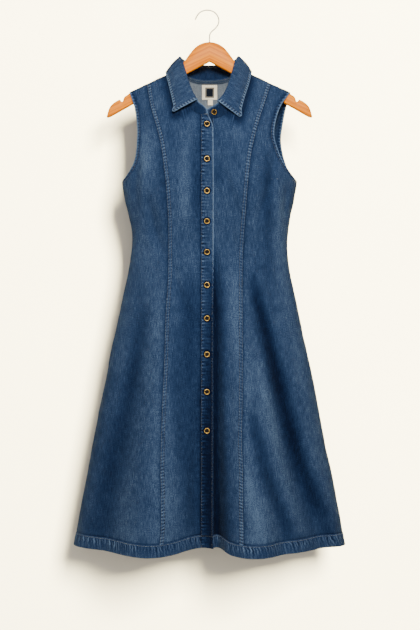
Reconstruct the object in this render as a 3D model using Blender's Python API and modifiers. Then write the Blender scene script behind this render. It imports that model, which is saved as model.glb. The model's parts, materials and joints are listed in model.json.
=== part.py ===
"""Sleeveless button-front midi dress of blue denim, hung on a wooden hanger.

The frame is in metres with +Z up. X = 0 is the dress's centre line, Y = 0 the middle of the
hanger, and Z = 0 the inside top of its hook. The front faces -Y, so the wearer's right is -X.
Tables and sizes below are in millimetres, and MM turns them into metres.
"""
import math

import bmesh
import bpy
import numpy as np
from mathutils import Matrix, Vector

MM = 0.001

# ------------------------------------------------------------------ driving dimensions
WALL = 1.2                 # one layer of denim
BAND_WALL = 2.4            # the button bands are folded double
COLLAR_WALL = 2.0          # stand and fall, two layers each
SEAM_GAP = 0.3
HEM_TURN = 27.0            # height of the turned-up hem
HEM_WALL = 2.4             # its two layers
UNDERARM_Z = -376.0
HANGER_HALF = 6.0          # half the hanger's thickness
SHOULDER_HALF = 7.9        # cloth's distance from Y = 0 beside the hanger's top edge
SHOULDER_ROUND = 8.0       # height over which the cloth rounds the hanger's top edge
SHOULDER_GAP_HALF = 0.2    # half the gap between front and back at the shoulder seam
FRONT_REACH = 190.0        # height over which the front swells out below the shoulder
BACK_REACH = 115.0
SECTION_POWER = 2.4        # 2 is an ellipse, more is a flatter front
FOLD_FADE = 8.0            # folds fade out beside the side seams
FOLD_START = 40.0          # and this far below the shoulder line

NECK_X = 68.0              # where the shoulder seam meets the neck
NECK_Z = -127.6
NECK_RISE = 17.6           # rise of the shoulder surface's crown above the neck point
SHOULDER_SLOPE = 0.476

BAND_SEAM_X = -18.7        # seam of the upper button band
BAND_LIFT = 0.8            # the upper band stands this far proud of the front
UNDER_SEAM_X = 7.7         # seam of the lower band
UNDER_EDGE_X = -19.4
UNDER_DEPTH = 2.3          # the lower band lies this far in
UNDER_WALL = 1.8
UNDER_RAMP = (9.0, 21.0)   # between these X the left front dips under the upper band

TURN_STEP = 0.002          # steps for measuring the surface's slopes
Z_STEP = 0.05
BISECTIONS = 40
SEARCH_TOP = -20.0         # above every top line
SHARP_ANGLE = 40.0         # edges steeper than this many degrees stay crisp


class Table:
    """Rows with named columns, read as smooth curves of the first column."""

    def __init__(self, columns, rows):
        self.index = {name: place for place, name in enumerate(columns)}
        self.rows = np.array(sorted(rows), dtype=float)
        self.knots = self.rows[:, 0]

    def at(self, column, where):
        values = self.rows[:, self.index[column]]
        slopes = np.gradient(values, self.knots)
        where = np.clip(where, self.knots[0], self.knots[-1])
        last = len(self.knots) - 2
        low = np.clip(np.searchsorted(self.knots, where, side="right") - 1, 0, last)
        span = self.knots[low + 1] - self.knots[low]
        t = (where - self.knots[low]) / span
        bend = t * t * (3 - 2 * t)
        start = t * (1 - t) ** 2 * span * slopes[low]
        end = t * t * (1 - t) * span * slopes[low + 1]
        return values[low] * (1 - bend) + values[low + 1] * bend + start - end


# Half widths and depths of the body at each height. Above the underarm they go on as the
# surface that the armholes are cut from.
BODY = Table(("z", "left", "right", "front", "back"), (
    (-100, 188, 188, 50, 50),
    (-180, 190, 190, 58, 52),
    (-225, 193, 193, 61, 50),
    (-284, 194, 194, 66, 45),
    (-340, 194, 194, 69, 42),
    (-376, 192.5, 192.5, 70, 41),
    (-416, 186, 186, 67, 38),
    (-451, 177, 179, 62, 34),
    (-486, 170.5, 173, 57, 31.5),
    (-513, 170, 171, 55, 31),
    (-539, 173, 173, 56, 33),
    (-574, 179, 177, 58.5, 37),
    (-609, 186, 184, 62, 41),
    (-645, 194, 192, 65, 45),
    (-680, 201, 199, 67.5, 48),
    (-750, 217, 214.5, 72, 53),
    (-821, 230, 230, 76, 57),
    (-891, 245, 243, 79, 61),
    (-961, 258.5, 256, 81.5, 64),
    (-1032, 272, 272, 83.5, 67),
    (-1102, 285, 285, 85, 70),
    (-1173, 298, 298, 86, 72),
    (-1200, 303, 303, 86, 73),
))

ARMHOLE = Table(("z", "front_left", "front_right", "back_left", "back_right"), (
    (-180, 176, 178, 176, 178),
    (-205, 167, 160, 166, 171),
    (-240, 160, 146, 157, 164),
    (-284, 157.5, 141.5, 155, 159),
    (-310, 159.5, 149, 159, 162.5),
    (-328, 162, 156, 163, 167),
    (-345, 168.5, 166, 170, 173),
    (-363, 180, 179.5, 181, 182),
    (-372, 188, 188, 188.5, 188.5),
    (-376, 192.5, 192.5, 192.5, 192.5),
))

PRINCESS = Table(("z", "front_left", "front_right", "back_left", "back_right"), (
    (-160, 137.5, 135.3, 125, 125),
    (-211, 128.7, 118.9, 117, 117),
    (-264, 113.8, 102.5, 107, 107),
    (-302, 104.8, 93.5, 100, 100),
    (-341, 99.2, 87, 94, 94),
    (-388, 93.9, 82.5, 87, 88),
    (-453, 89.7, 77.6, 78, 79),
    (-507, 88.8, 73.6, 72, 73),
    (-593, 89.7, 71.3, 74, 75),
    (-658, 93.8, 71.2, 77, 78),
    (-787, 97.4, 71.1, 84, 84),
    (-872, 101.3, 70.4, 88, 87),
    (-935, 103, 69, 91, 90),
    (-998, 104, 71, 94, 93),
    (-1061, 102.8, 71, 96, 96),
    (-1135, 103.7, 71.6, 99, 98),
    (-1190, 110, 72, 102, 100),
))

NECKLINE = Table(("x", "front", "back"), (
    (-68, -127.6, -127.6),
    (-64.5, -150, -130),
    (-57, -182, -134.5),
    (-45, -212, -139.5),
    (-29, -232, -144),
    (-18.7, -235, -145.4),
    (0, -235.5, -146),
    (8, -244, -145.8),
    (14, -244, -145.6),
    (30, -238, -144),
    (45, -220, -139.5),
    (57, -188, -134.5),
    (64.5, -154, -130),
    (68, -127.6, -127.6),
))

HEM = Table(("x", "front", "back"), (
    (-300, -1173, -1173),
    (-258, -1176, -1172),
    (-217, -1178, -1175),
    (-168, -1182, -1178),
    (-126, -1184, -1178),
    (-98, -1182.5, -1175),
    (-73, -1178.5, -1172),
    (-42, -1171.5, -1171),
    (-5, -1170.5, -1174),
    (8, -1172, -1175),
    (25, -1173, -1176),
    (44, -1180, -1177),
    (65, -1183.5, -1176),
    (96, -1185, -1173),
    (128, -1184, -1171),
    (171, -1180.5, -1175),
    (238, -1176, -1177),
    (300, -1173, -1173),
))

# The upper band's free edge: it turns aside at the top, where the collar is open.
BAND_EDGE = Table(("z", "x"), (
    (-222, -2.5),
    (-231, -1.8),
    (-238.5, -1.0),
    (-247, 2.4),
    (-256, 6.3),
    (-264, 8.1),
    (-275, 8.3),
    (-700, 8.4),
    (-1190, 8.2),
))

FOLD_COLUMNS = ("z", "x", "width", "out")
FRONT_FOLDS = {
    "left_flute": (
        (-560, -84, 34, 0), (-700, -96, 46, 8), (-850, -110, 58, 18),
        (-1000, -126, 70, 28), (-1190, -142, 78, 37)),
    "right_flute": (
        (-560, 62, 28, 0), (-700, 72, 40, 8), (-850, 84, 52, 18),
        (-1000, 94, 62, 28), (-1190, 102, 70, 36)),
    "centre_valley": (
        (-560, -4, 24, 0), (-800, -4, 30, -9), (-1000, -5, 36, -18), (-1190, -6, 40, -27)),
    "left_valley": (
        (-610, -146, 22, 0), (-672, -150, 26, -5), (-797, -166, 30, -10),
        (-970, -198, 34, -14), (-1060, -213, 36, -14), (-1190, -232, 38, -12)),
    "right_valley": (
        (-540, 80, 10, 0), (-609, 94, 13, -6), (-672, 113, 16, -9), (-800, 146, 20, -15),
        (-932, 172, 24, -19), (-1055, 208, 27, -24), (-1190, 258, 30, -24)),
    "right_second_valley": (
        (-850, 84, 12, 0), (-897, 91, 13, -4), (-1055, 143, 17, -10), (-1190, 158, 20, -11)),
    "left_waist_crease": (
        (-545, -82, 9, 0), (-575, -77, 10, -4), (-622, -66, 11, -5), (-680, -38, 12, -4),
        (-715, -30, 13, 0)),
    "left_bust_crease": (
        (-395, -134, 10, 0), (-425, -130, 11, -5), (-480, -120, 12, -6), (-525, -106, 12, -4),
        (-560, -98, 12, 0)),
    "left_underarm_crease": (
        (-318, -150, 9, 0), (-345, -156, 10, -5), (-400, -160, 10, -6), (-468, -166, 9, -4),
        (-500, -160, 9, 0)),
    "left_bust_ridge": (
        (-290, -138, 12, 0), (-340, -140, 14, 4), (-400, -146, 13, 4), (-440, -148, 12, 0)),
    "right_bust_crease": (
        (-300, 14, 10, 0), (-340, 24, 11, -4), (-457, 59, 13, -6), (-550, 68, 12, -4),
        (-590, 70, 12, 0)),
    "right_armhole_crease": (
        (-300, 136, 8, 0), (-330, 139, 9, -4), (-393, 131, 10, -6), (-440, 112, 10, -4),
        (-480, 104, 10, 0)),
    "right_armhole_ridge": (
        (-325, 150, 9, 0), (-360, 147, 9, 4), (-420, 150, 9, 5), (-492, 157, 9, 3),
        (-530, 158, 9, 0)),
    "right_side_crease": (
        (-375, 170, 7, 0), (-400, 168, 7, -5), (-470, 166, 7, -4), (-500, 164, 7, 0)),
}
BACK_FOLDS = {
    "left_flute": (
        (-580, -110, 34, 0), (-800, -124, 50, 9), (-1000, -138, 60, 17), (-1190, -150, 66, 24)),
    "centre_flute": (
        (-600, 18, 30, 0), (-800, 22, 40, 7), (-1000, 26, 48, 14), (-1190, 30, 52, 20)),
    "right_flute": (
        (-590, 130, 30, 0), (-800, 146, 42, 9), (-1000, 168, 52, 16), (-1190, 190, 58, 22)),
    "left_valley": (
        (-600, -48, 22, 0), (-800, -52, 28, -7), (-1000, -56, 34, -12), (-1190, -58, 38, -16)),
    "right_valley": (
        (-600, 84, 20, 0), (-800, 92, 26, -7), (-1000, 100, 32, -12), (-1190, 106, 36, -15)),
    "waist_crease_left": (
        (-440, -96, 10, 0), (-480, -86, 12, -4), (-520, -66, 12, -4), (-550, -50, 12, 0)),
    "waist_crease_right": (
        (-450, 112, 10, 0), (-490, 100, 12, -4), (-530, 84, 12, -3), (-560, 74, 12, 0)),
    "blade_crease_left": (
        (-250, -130, 10, 0), (-300, -128, 12, -4), (-370, -116, 12, -4), (-410, -106, 12, 0)),
    "blade_crease_right": (
        (-240, 126, 10, 0), (-300, 124, 12, -4), (-360, 112, 12, -3), (-400, 104, 12, 0)),
}
# Beside the upper band the left front turns back into a deep narrow fold.
UNDER_FOLDS = {
    "recess": (
        (-480, 15, 8, 0), (-560, 16, 8, -4), (-700, 16, 9, -8), (-850, 17, 10, -15),
        (-1000, 18, 11, -23), (-1190, 19, 12, -31)),
}


def fold_tables(folds):
    return [Table(FOLD_COLUMNS, rows) for rows in folds.values()]


FACES = {
    "front": {"sign": -1, "reach": FRONT_REACH, "folds": fold_tables(FRONT_FOLDS)},
    "back": {"sign": 1, "reach": BACK_REACH, "folds": fold_tables(BACK_FOLDS)},
}
UNDER_TABLES = fold_tables(UNDER_FOLDS)


# ------------------------------------------------------------------ the cloth's surface
def shoulder_z(x):
    """Height of the shoulder line, carried on over the neck as a low crown."""
    reach = np.abs(x)
    crown = NECK_Z + NECK_RISE * (1 - np.minimum(reach / NECK_X, 1) ** 2)
    return crown - SHOULDER_SLOPE * np.maximum(reach - NECK_X, 0)


def half_width(x, z):
    return np.where(x < 0, BODY.at("left", z), BODY.at("right", z))


def fold_height(tables, x, z):
    """How far the folds push the cloth out, negative for a valley."""
    total = np.zeros(np.broadcast(x, z).shape)
    for table in tables:
        inside = (z >= table.knots[0] - 1) & (z <= table.knots[-1])
        spread = (x - table.at("x", z)) / table.at("width", z)
        total += np.where(inside, table.at("out", z) * np.exp(-spread ** 2), 0)
    return total


def depth_at(face, x, z, under=False):
    """Distance of the cloth's outer side from Y = 0."""
    spec = FACES[face]
    ratio = np.clip(np.abs(x) / half_width(x, z), 0, 1)
    depth = BODY.at(face, z) * np.sqrt(1 - ratio ** SECTION_POWER)
    drop = np.maximum(shoulder_z(x) - z, 0)
    lean = np.clip(1 - drop / spec["reach"], 0, 1) ** 2
    depth = depth + (SHOULDER_HALF - depth) * lean
    fade = (1 - ratio ** FOLD_FADE) * np.clip(drop / FOLD_START, 0, 1)
    depth = depth + fade * fold_height(spec["folds"], x, z)
    if under:
        start, end = UNDER_RAMP
        depth = depth - UNDER_DEPTH * np.clip((end - x) / (end - start), 0, 1)
        depth = depth + fold_height(UNDER_TABLES, x, z)
    rounding = np.sqrt(1 - (1 - np.clip(drop / SHOULDER_ROUND, 0, 1)) ** 2)
    return SHOULDER_GAP_HALF + depth * rounding


def turn_of(x, z):
    """Where X lies on its section: -1 and 1 are the side seams."""
    return np.arcsin(np.clip(x / half_width(x, z), -1, 1)) / (math.pi / 2)


def surface(face, turn, z, under=False):
    turn = np.clip(turn, -1, 1)
    x = half_width(turn, z) * np.sin(turn * math.pi / 2)
    y = FACES[face]["sign"] * depth_at(face, x, z, under)
    return np.stack([x, y, z + 0 * x], axis=-1)


def cloth(face, turn, z, lift, under=False):
    """Points on the cloth's outer side, moved out by lift along its normals."""
    ahead = surface(face, turn + TURN_STEP, z, under)
    behind = surface(face, turn - TURN_STEP, z, under)
    below = surface(face, turn, z - Z_STEP, under)
    above = surface(face, turn, z + Z_STEP, under)
    normal = np.cross(ahead - behind, below - above) * FACES[face]["sign"]
    normal = normal / np.linalg.norm(normal, axis=-1, keepdims=True)
    return surface(face, turn, z, under) + normal * np.expand_dims(lift + 0 * z, -1)


# ------------------------------------------------------------------ building the pieces
def remove_all():
    for old in list(bpy.data.objects):
        bpy.data.objects.remove(old, do_unlink=True)


def make_material(name, colour, roughness, metallic=0.0):
    material = bpy.data.materials.new(name)
    material.use_nodes = True
    shader = material.node_tree.nodes["Principled BSDF"]
    shader.inputs["Base Color"].default_value = (*colour, 1.0)
    shader.inputs["Roughness"].default_value = roughness
    shader.inputs["Metallic"].default_value = metallic
    return material


def add_object(name, mesh, material, smooth=True):
    item = bpy.data.objects.new(name, mesh)
    COLLECTION.objects.link(item)
    if mesh.materials:
        mesh.materials[0] = material
    else:
        mesh.materials.append(material)
    if smooth:
        mesh.shade_smooth()
        mesh.set_sharp_from_angle(angle=math.radians(SHARP_ANGLE))
    return item


def slab(name, outer, inner, material):
    """A closed wall between two grids of points, rows by columns by XYZ, in millimetres."""
    rows, columns = outer.shape[:2]
    mesh_data = bmesh.new()
    bmesh.ops.create_grid(mesh_data, x_segments=columns - 1, y_segments=rows - 1, size=1.0)
    front = list(mesh_data.verts)
    extruded = bmesh.ops.extrude_face_region(mesh_data, geom=mesh_data.faces[:])
    back = [item for item in extruded["geom"] if isinstance(item, bmesh.types.BMVert)]
    for verts, points in ((front, outer), (back, inner)):
        for vert in verts:
            column = round((vert.co.x + 1) / 2 * (columns - 1))
            row = round((vert.co.y + 1) / 2 * (rows - 1))
            vert.co = Vector(points[row, column]) * MM
    bmesh.ops.recalc_face_normals(mesh_data, faces=mesh_data.faces[:])
    mesh = bpy.data.meshes.new(name)
    mesh_data.to_mesh(mesh)
    mesh_data.free()
    return add_object(name, mesh, material)


def top_of(line, place_x):
    """Height at which a column, whose X at each height is place_x(z), meets a top line."""
    low = UNDERARM_Z + np.zeros_like(place_x(UNDERARM_Z))
    high = SEARCH_TOP + np.zeros_like(low)
    for _ in range(BISECTIONS):
        middle = (high + low) / 2
        above = middle > line(place_x(middle))
        high = np.where(above, middle, high)
        low = np.where(above, low, middle)
    return (high + low) / 2


def top_line(face):
    """The shoulder line, and the neckline between the two neck points."""
    def line(x):
        return np.where(np.abs(x) >= NECK_X, shoulder_z(x), NECKLINE.at(face, x))
    return line


def row_heights(tops, hems):
    """Heights of every row: close together at the top, the underarm and the hem."""
    upper = [tops + (UNDERARM_Z - tops) * share for share in UPPER_ROWS]
    lower = [UNDERARM_Z + (hems - UNDERARM_Z) * share for share in LOWER_ROWS]
    return np.array(upper + lower)


def panel(name, face, edges, shares, material, under=False):
    """One cut piece: edges are two functions of height that give its sides' turns."""
    shares = np.array(shares)

    def turn_at(z):
        start = edges[0](z)
        return start + (edges[1](z) - start) * shares

    def x_at(z):
        turn = turn_at(z)
        return half_width(turn, z) * np.sin(turn * math.pi / 2)

    tops = top_of(top_line(face), x_at)
    hems = HEM.at(face, x_at(HEM.at(face, 0.0) + 0 * shares))
    heights = row_heights(tops, hems)
    turns = np.array([turn_at(row) for row in heights])
    in_turned_hem = heights - hems < HEM_TURN
    wall = np.where(in_turned_hem, HEM_WALL, WALL)
    outer = cloth(face, turns, heights, 0.0, under)
    inner = cloth(face, turns, heights, -wall, under)
    return slab(name, outer, inner, material)


def seam_edge(table, column, side, shift):
    """Turn of a seam whose table gives its distance from the centre on one side."""
    def edge(z):
        return turn_of(side * table.at(column, z) + shift, z)
    return edge


def side_edge(column, side):
    """The side seam below the underarm and the armhole above it."""
    def edge(z):
        z = np.asarray(z, dtype=float)
        arm = turn_of(side * ARMHOLE.at(column, z), z)
        return np.where(z <= UNDERARM_Z, side * 1.0, arm)
    return edge


def straight_edge(x):
    def edge(z):
        return turn_of(np.full_like(np.asarray(z, dtype=float), x), z)
    return edge


def even_rows(count):
    def heights(tops, lows):
        down = np.linspace(0, 1, count)[:, None]
        return tops * (1 - down) + lows * down
    return heights


def strip(name, face, edges, span, lift, wall, rows, columns, material, under=False):
    """A flat piece on a panel: X edges by height, between two height lines by X."""
    across = np.linspace(0, 1, columns)
    start, end = edges
    middle_z = span[0](0.0)
    x_guess = start(middle_z) + (end(middle_z) - start(middle_z)) * across
    heights = rows(span[0](x_guess), span[1](x_guess))
    x = start(heights) + (end(heights) - start(heights)) * across
    turns = turn_of(x, heights)
    outer = cloth(face, turns, heights, lift, under)
    inner = cloth(face, turns, heights, lift - wall, under)
    return slab(name, outer, inner, material)


def fixed(value):
    def line(_):
        return value + 0 * np.asarray(_, dtype=float)
    return line


def grid_normals(points):
    along = np.gradient(points, axis=1)
    down = np.gradient(points, axis=0)
    normal = np.cross(along, down)
    return normal / np.linalg.norm(normal, axis=-1, keepdims=True)


def sheet(name, points, wall, material):
    """A wall of even thickness about a grid of middle points."""
    normal = grid_normals(points) * wall / 2
    return slab(name, points + normal, points - normal, material)


# ------------------------------------------------------------------ rows and columns
UPPER_ROWS = (0, 0.006, 0.02, 0.045, 0.1, 0.19, 0.3, 0.42, 0.54, 0.66, 0.77, 0.86, 0.93, 0.975)
LOWER_ROWS = (0, 0.045, 0.09, 0.135, 0.18, 0.23, 0.28, 0.335, 0.395, 0.46, 0.525, 0.59, 0.66,
              0.73, 0.8, 0.87, 0.935, 0.97, 1)
SIDE_SHARES = (0, 0.07, 0.22, 0.4, 0.6, 0.8, 1)
CENTRE_RIGHT_SHARES = (0, 0.15, 0.3, 0.45, 0.583, 0.598, 0.625, 0.69, 0.78, 0.89, 1)
CENTRE_LEFT_SHARES = (0, 0.045, 0.09, 0.135, 0.18, 0.25, 0.34, 0.43, 0.457, 0.472, 0.65, 0.83, 1)
BACK_SHARES = (0, 0.11, 0.23, 0.26, 0.34, 0.42, 0.5, 0.58, 0.66, 0.74, 0.77, 0.89, 1)

# ------------------------------------------------------------------ collar
# Each row is a station round the neck: where the stand leaves the neckline and how far inside
# it, its top edge, and the fall's outer edge. Rows without a fall repeat the stand's top.
COLLAR = Table(
    ("station", "neck_x", "neck_y_sign", "inset", "top_x", "top_y", "top_z",
     "edge_x", "edge_y", "edge_z"), (
        (0, -3.6, -1, 0, -5.5, -57.5, -224, -5.5, -57.5, -224),
        (1, -10, -1, 0, -14, -59, -216, -14, -59, -216),
        (2, -20, -1, 0, -24.5, -61, -208, -75.7, -56, -230),
        (3, -31, -1, 0, -31, -58, -198.5, -78, -50, -216),
        (4, -43, -1, 0, -37, -54, -188, -81, -44, -203),
        (5, -54, -1, 0, -44.5, -45, -169, -84.5, -38, -188),
        (6, -62, -1, 0, -51, -34, -148, -89, -28, -168),
        (7, -66.5, -1, 0, -57.5, -18, -124, -94, -15, -149),
        (8, -68, 0, 0, -62, -1, -107, -96.5, -1, -136),
        (9, -65, 1, 0, -61, 14, -105.5, -93, 16, -141),
        (10, -52, 1, 0, -49, 31, -109, -72, 34, -152),
        (11, -29, 1, 0, -28, 42, -113, -38, 48, -160),
        (12, 0, 1, 0, 0, 46, -114.5, 0, 53, -163),
        (13, 29, 1, 0, 28, 42, -113, 38, 48, -160),
        (14, 52, 1, 0, 49, 31, -109, 70, 34, -152),
        (15, 65, 1, 0, 60, 14, -105.5, 89, 16, -140),
        (16, 68, 0, 0, 61, -1, -106, 93, -1, -135),
        (17, 66.5, -1, 0, 55, -17, -124, 90, -15, -149),
        (18, 62, -1, 0, 49.7, -31, -143.5, 86, -24, -166),
        (19, 54, -1, 0, 43.6, -42, -163.7, 80.5, -36, -184),
        (20, 44, -1, 0.3, 36.8, -51, -182, 75, -44, -201.6),
        (21, 32, -1, 0.6, 28.5, -57, -198, 69.5, -50, -222),
        (22, 20, -1, 1.2, 17, -60.5, -211.5, 64, -56, -241),
        (23, 8, -1, 2.6, 5, -57.5, -218.5, 5, -57.5, -218.5),
        (24, -6, -1, 3.2, -7, -53.6, -225, -7, -53.6, -225),
    ))
FALL_START = 2.0
FALL_END = 22.0
STATIONS_PER_STEP = 1.5
STAND_ROWS = 4
STAND_CLEAR = 1.4          # from the neckline seam
STAND_FRONT_CLEAR = 0.6    # more of it at the front, where the stand leans
FALL_CLEAR = 1.05          # above the stand's top edge
FALL_ROLL = ((0.0, 0.0), (0.3, 1.6), (1.8, 3.2), (4.4, 3.8))   # out and up from the top edge
FALL_ROWS = 5
FALL_BULGE = 2.5
FALL_LIFT = 3.6            # the fall's clearance over the dress
FLAT = np.array([1.0, 1.0, 0.0])


def neck_points(stations):
    """Points on the neckline seam in the middle of the wall, where the stand starts."""
    x = COLLAR.at("neck_x", stations)
    sign = COLLAR.at("neck_y_sign", stations)
    points = []
    for place_x, place_sign in zip(x, sign):
        face = "front" if place_sign < 0 else "back"
        z = top_line(face)(np.array(place_x))
        under = face == "front" and place_x > 0
        turn = turn_of(np.array(place_x), z)
        point = cloth(face, turn, z, -WALL / 2, under)
        point[1] *= min(1.0, abs(place_sign))
        points.append(point)
    points = np.array(points)
    return points - unit(points * FLAT) * COLLAR.at("inset", stations)[:, None]


def collar_columns(names, stations):
    return np.stack([COLLAR.at(name, stations) for name in names], axis=-1)


def clear_of_dress(points, lift):
    """Moves points out until they are lift away from the shoulders, front and back."""
    x, y, z = points[..., 0], points[..., 1], points[..., 2]
    low = z - lift
    front = -(depth_at("front", x, low) + lift)
    back = depth_at("back", x, low) + lift
    below = low < shoulder_z(x)
    moved = np.where(y < 0, np.minimum(y, front), np.maximum(y, back))
    return np.stack([x, np.where(below, moved, y), z], axis=-1)


def unit(vectors):
    return vectors / np.linalg.norm(vectors, axis=-1, keepdims=True)


def make_collar(denim):
    last = COLLAR.knots[-1]
    stations = np.linspace(0, last, int(last * STATIONS_PER_STEP) + 1)
    neck = neck_points(stations)
    top = collar_columns(("top_x", "top_y", "top_z"), stations)
    lean = np.clip(-COLLAR.at("neck_y_sign", stations), 0, 1)[:, None]
    low = neck + unit(top - neck) * (STAND_CLEAR + STAND_FRONT_CLEAR * lean)
    shares = np.linspace(0, 1, STAND_ROWS)[:, None, None]
    sheet("collar_stand", low * (1 - shares) + top * shares, COLLAR_WALL, denim)

    count = int((FALL_END - FALL_START) * STATIONS_PER_STEP) + 1
    stations = np.linspace(FALL_START, FALL_END, count)
    top = collar_columns(("top_x", "top_y", "top_z"), stations)
    edge = collar_columns(("edge_x", "edge_y", "edge_z"), stations)
    up = unit(top - neck_points(stations))
    out = unit(np.cross(np.gradient(top, axis=0), up))
    out = out * np.sign(np.sum(out * (edge - top), axis=-1, keepdims=True))
    rows = [top + out * aside + up * (above + FALL_CLEAR) for aside, above in FALL_ROLL]
    start = rows[-1]
    across = unit(np.cross(np.gradient(top, axis=0), edge - top))
    across = across * np.sign(np.sum(across * out, axis=-1, keepdims=True))
    for share in np.linspace(0, 1, FALL_ROWS + 1)[1:]:
        bulge = across * FALL_BULGE * math.sin(math.pi * share)
        rows.append(clear_of_dress(start * (1 - share) + edge * share + bulge, FALL_LIFT))
    sheet("collar_fall", np.array(rows), COLLAR_WALL, denim)


# ------------------------------------------------------------------ bands, label and tape
BAND_COLUMNS = 4
BUTTON_HEIGHTS = (-257.5, -333, -401.5, -466, -533, -604, -676, -753.5, -834, -917.5)
BUTTON_X = -5.4
STAND_BUTTON_STATION = 22.65
STAND_BUTTON_SHARE = 0.5
STATION_STEP = 0.2         # for the stand's direction at its button
# Half profile of a ring button, from its centre over the rim and back below, as radius and height.
BUTTON_PROFILE = ((0, 1.0), (2.9, 1.0), (3.6, 2.6), (5.4, 2.8), (6.5, 1.3), (6.0, 0), (0, 0))
BUTTON_STEPS = 14
BUTTON_MERGE = 0.00005     # metres, joins the profile's ends on the axis
BUTTON_GAP = 0.8           # a flat button on the hollow of the band

TAPE_HALF = 46.0
TAPE_TOP_GAP = 1.2
TAPE_HEIGHT = 7.6
TAPE_WALL = 0.7
TRIM_GAP = 0.75            # between the curved back and the trims sewn inside it
LABEL_X = (-16.8, 17.2)
LABEL_Z = (-156.2, -188)
TAB_X = (-3.8, 7.4)
TAB_Z = (-188.4, -200)
LABEL_WALL = 0.8


def make_bands(denim):
    under_z = NECKLINE.at("front", 0.0)

    def hem_line(x):
        return HEM.at("front", x)

    def neck_line(x):
        return np.minimum(NECKLINE.at("front", x), under_z)

    def upper_edge(z):
        return BAND_EDGE.at("x", z)

    strip("placket_right", "front", (fixed(BAND_SEAM_X + SEAM_GAP), upper_edge),
          (neck_line, hem_line), BAND_LIFT, BAND_WALL, row_heights, BAND_COLUMNS, denim)
    strip("placket_left", "front", (fixed(UNDER_EDGE_X), fixed(UNDER_SEAM_X - SEAM_GAP)),
          (neck_line, hem_line), 0.0, UNDER_WALL, row_heights, BAND_COLUMNS, denim, under=True)


def make_neck_trim(tape_cotton, label_cotton):
    inside = -(WALL + TRIM_GAP)

    def tape_top(x):
        return NECKLINE.at("back", x) - TAPE_TOP_GAP

    def tape_low(x):
        return tape_top(x) - TAPE_HEIGHT

    strip("neck_tape", "back", (fixed(-TAPE_HALF), fixed(TAPE_HALF)), (tape_top, tape_low),
          inside, TAPE_WALL, even_rows(2), 11, tape_cotton)
    for name, across, down, rows, columns in (("neck_label", LABEL_X, LABEL_Z, 4, 5),
                                              ("size_tab", TAB_X, TAB_Z, 3, 3)):
        strip(name, "back", (fixed(across[0]), fixed(across[1])),
              (fixed(down[0]), fixed(down[1])), inside, LABEL_WALL, even_rows(rows), columns,
              label_cotton)


# ------------------------------------------------------------------ buttons
def button_mesh():
    mesh_data = bmesh.new()
    verts = [mesh_data.verts.new((r * MM, 0, h * MM)) for r, h in BUTTON_PROFILE]
    for start, end in zip(verts, verts[1:]):
        mesh_data.edges.new((start, end))
    mesh = bpy.data.meshes.new("button")
    mesh_data.to_mesh(mesh)
    mesh_data.free()
    return mesh


def place_button(name, point, normal, brass):
    item = add_object(name, button_mesh(), brass, smooth=False)
    turned = item.modifiers.new("turned", "SCREW")
    turned.steps = BUTTON_STEPS
    turned.render_steps = BUTTON_STEPS
    turned.use_merge_vertices = True
    turned.merge_threshold = BUTTON_MERGE
    turned.use_smooth_shade = True
    rotation = Vector((0, 0, 1)).rotation_difference(Vector(normal)).to_matrix().to_4x4()
    item.matrix_world = Matrix.Translation(Vector(point) * MM) @ rotation


def make_buttons(brass):
    heights = np.array(BUTTON_HEIGHTS)
    turns = turn_of(np.full_like(heights, BUTTON_X), heights)
    seat = cloth("front", turns, heights, BAND_LIFT + BUTTON_GAP)
    lifted = cloth("front", turns, heights, BAND_LIFT + BUTTON_GAP + 1.0)
    for number, (point, ahead) in enumerate(zip(seat, lifted), start=1):
        place_button(f"button_{number:02d}", point, ahead - point, brass)
    stations = STAND_BUTTON_STATION + np.array([-STATION_STEP, 0, STATION_STEP])
    neck = neck_points(stations)
    top = collar_columns(("top_x", "top_y", "top_z"), stations)
    along = unit(top[2] - top[0])
    upward = unit(top[1] - neck[1])
    normal = unit(np.cross(along, upward))
    normal = normal * (1 if normal[1] < 0 else -1)
    middle = neck[1] * (1 - STAND_BUTTON_SHARE) + top[1] * STAND_BUTTON_SHARE
    seat = middle + normal * (COLLAR_WALL / 2 + SEAM_GAP)
    place_button(f"button_{len(heights) + 1:02d}", seat, normal, brass)


# ------------------------------------------------------------------ hanger
# Top and bottom of the wooden body at each distance from its middle.
HANGER = Table(("x", "top", "low"), (
    (0, -68.4, -112.2),
    (8, -69.4, -116.6),
    (16, -71.6, -120.9),
    (24, -75.4, -125.2),
    (31, -80.4, -129),
    (37, -86.4, -132.2),
    (42, -92.8, -134.9),
    (47, -99.4, -137.6),
    (52, -106.4, -140.3),
    (57, -113.4, -143.1),
    (60, -119.2, -144.8),
    (62, -125.6, -145.9),
    (63.5, -131.2, -146.7),
    (67, -131.3, -148.7),
    (71, -131.5, -150.9),
    (76, -133.4, -153.7),
    (90, -139.9, -161.6),
    (110, -149.4, -172.9),
    (130, -159.0, -184.1),
    (150, -168.5, -195.4),
    (165, -175.6, -203.8),
    (175, -180.6, -209.5),
    (182, -185.8, -213.4),
    (187, -189.6, -216.2),
    (189, -193.4, -217.4),
    (190.5, -198.4, -218.2),
    (192.5, -199.9, -219.3),
    (194.6, -198.2, -220.5),
    (196.6, -195.4, -221.7),
    (200, -196.2, -223.6),
    (206.5, -199.8, -227.3),
    (212, -203.6, -230.4),
    (216, -207.6, -232.6),
    (220, -213.4, -234.2),
    (223, -221, -234.8),
    (225, -228.4, -234.6),
    (225.8, -231, -233.6),
))
RIM_POINTS = 5
END_HALF = 2.6             # half thickness of the body at its tips
END_TAPER = 12.0

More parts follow.
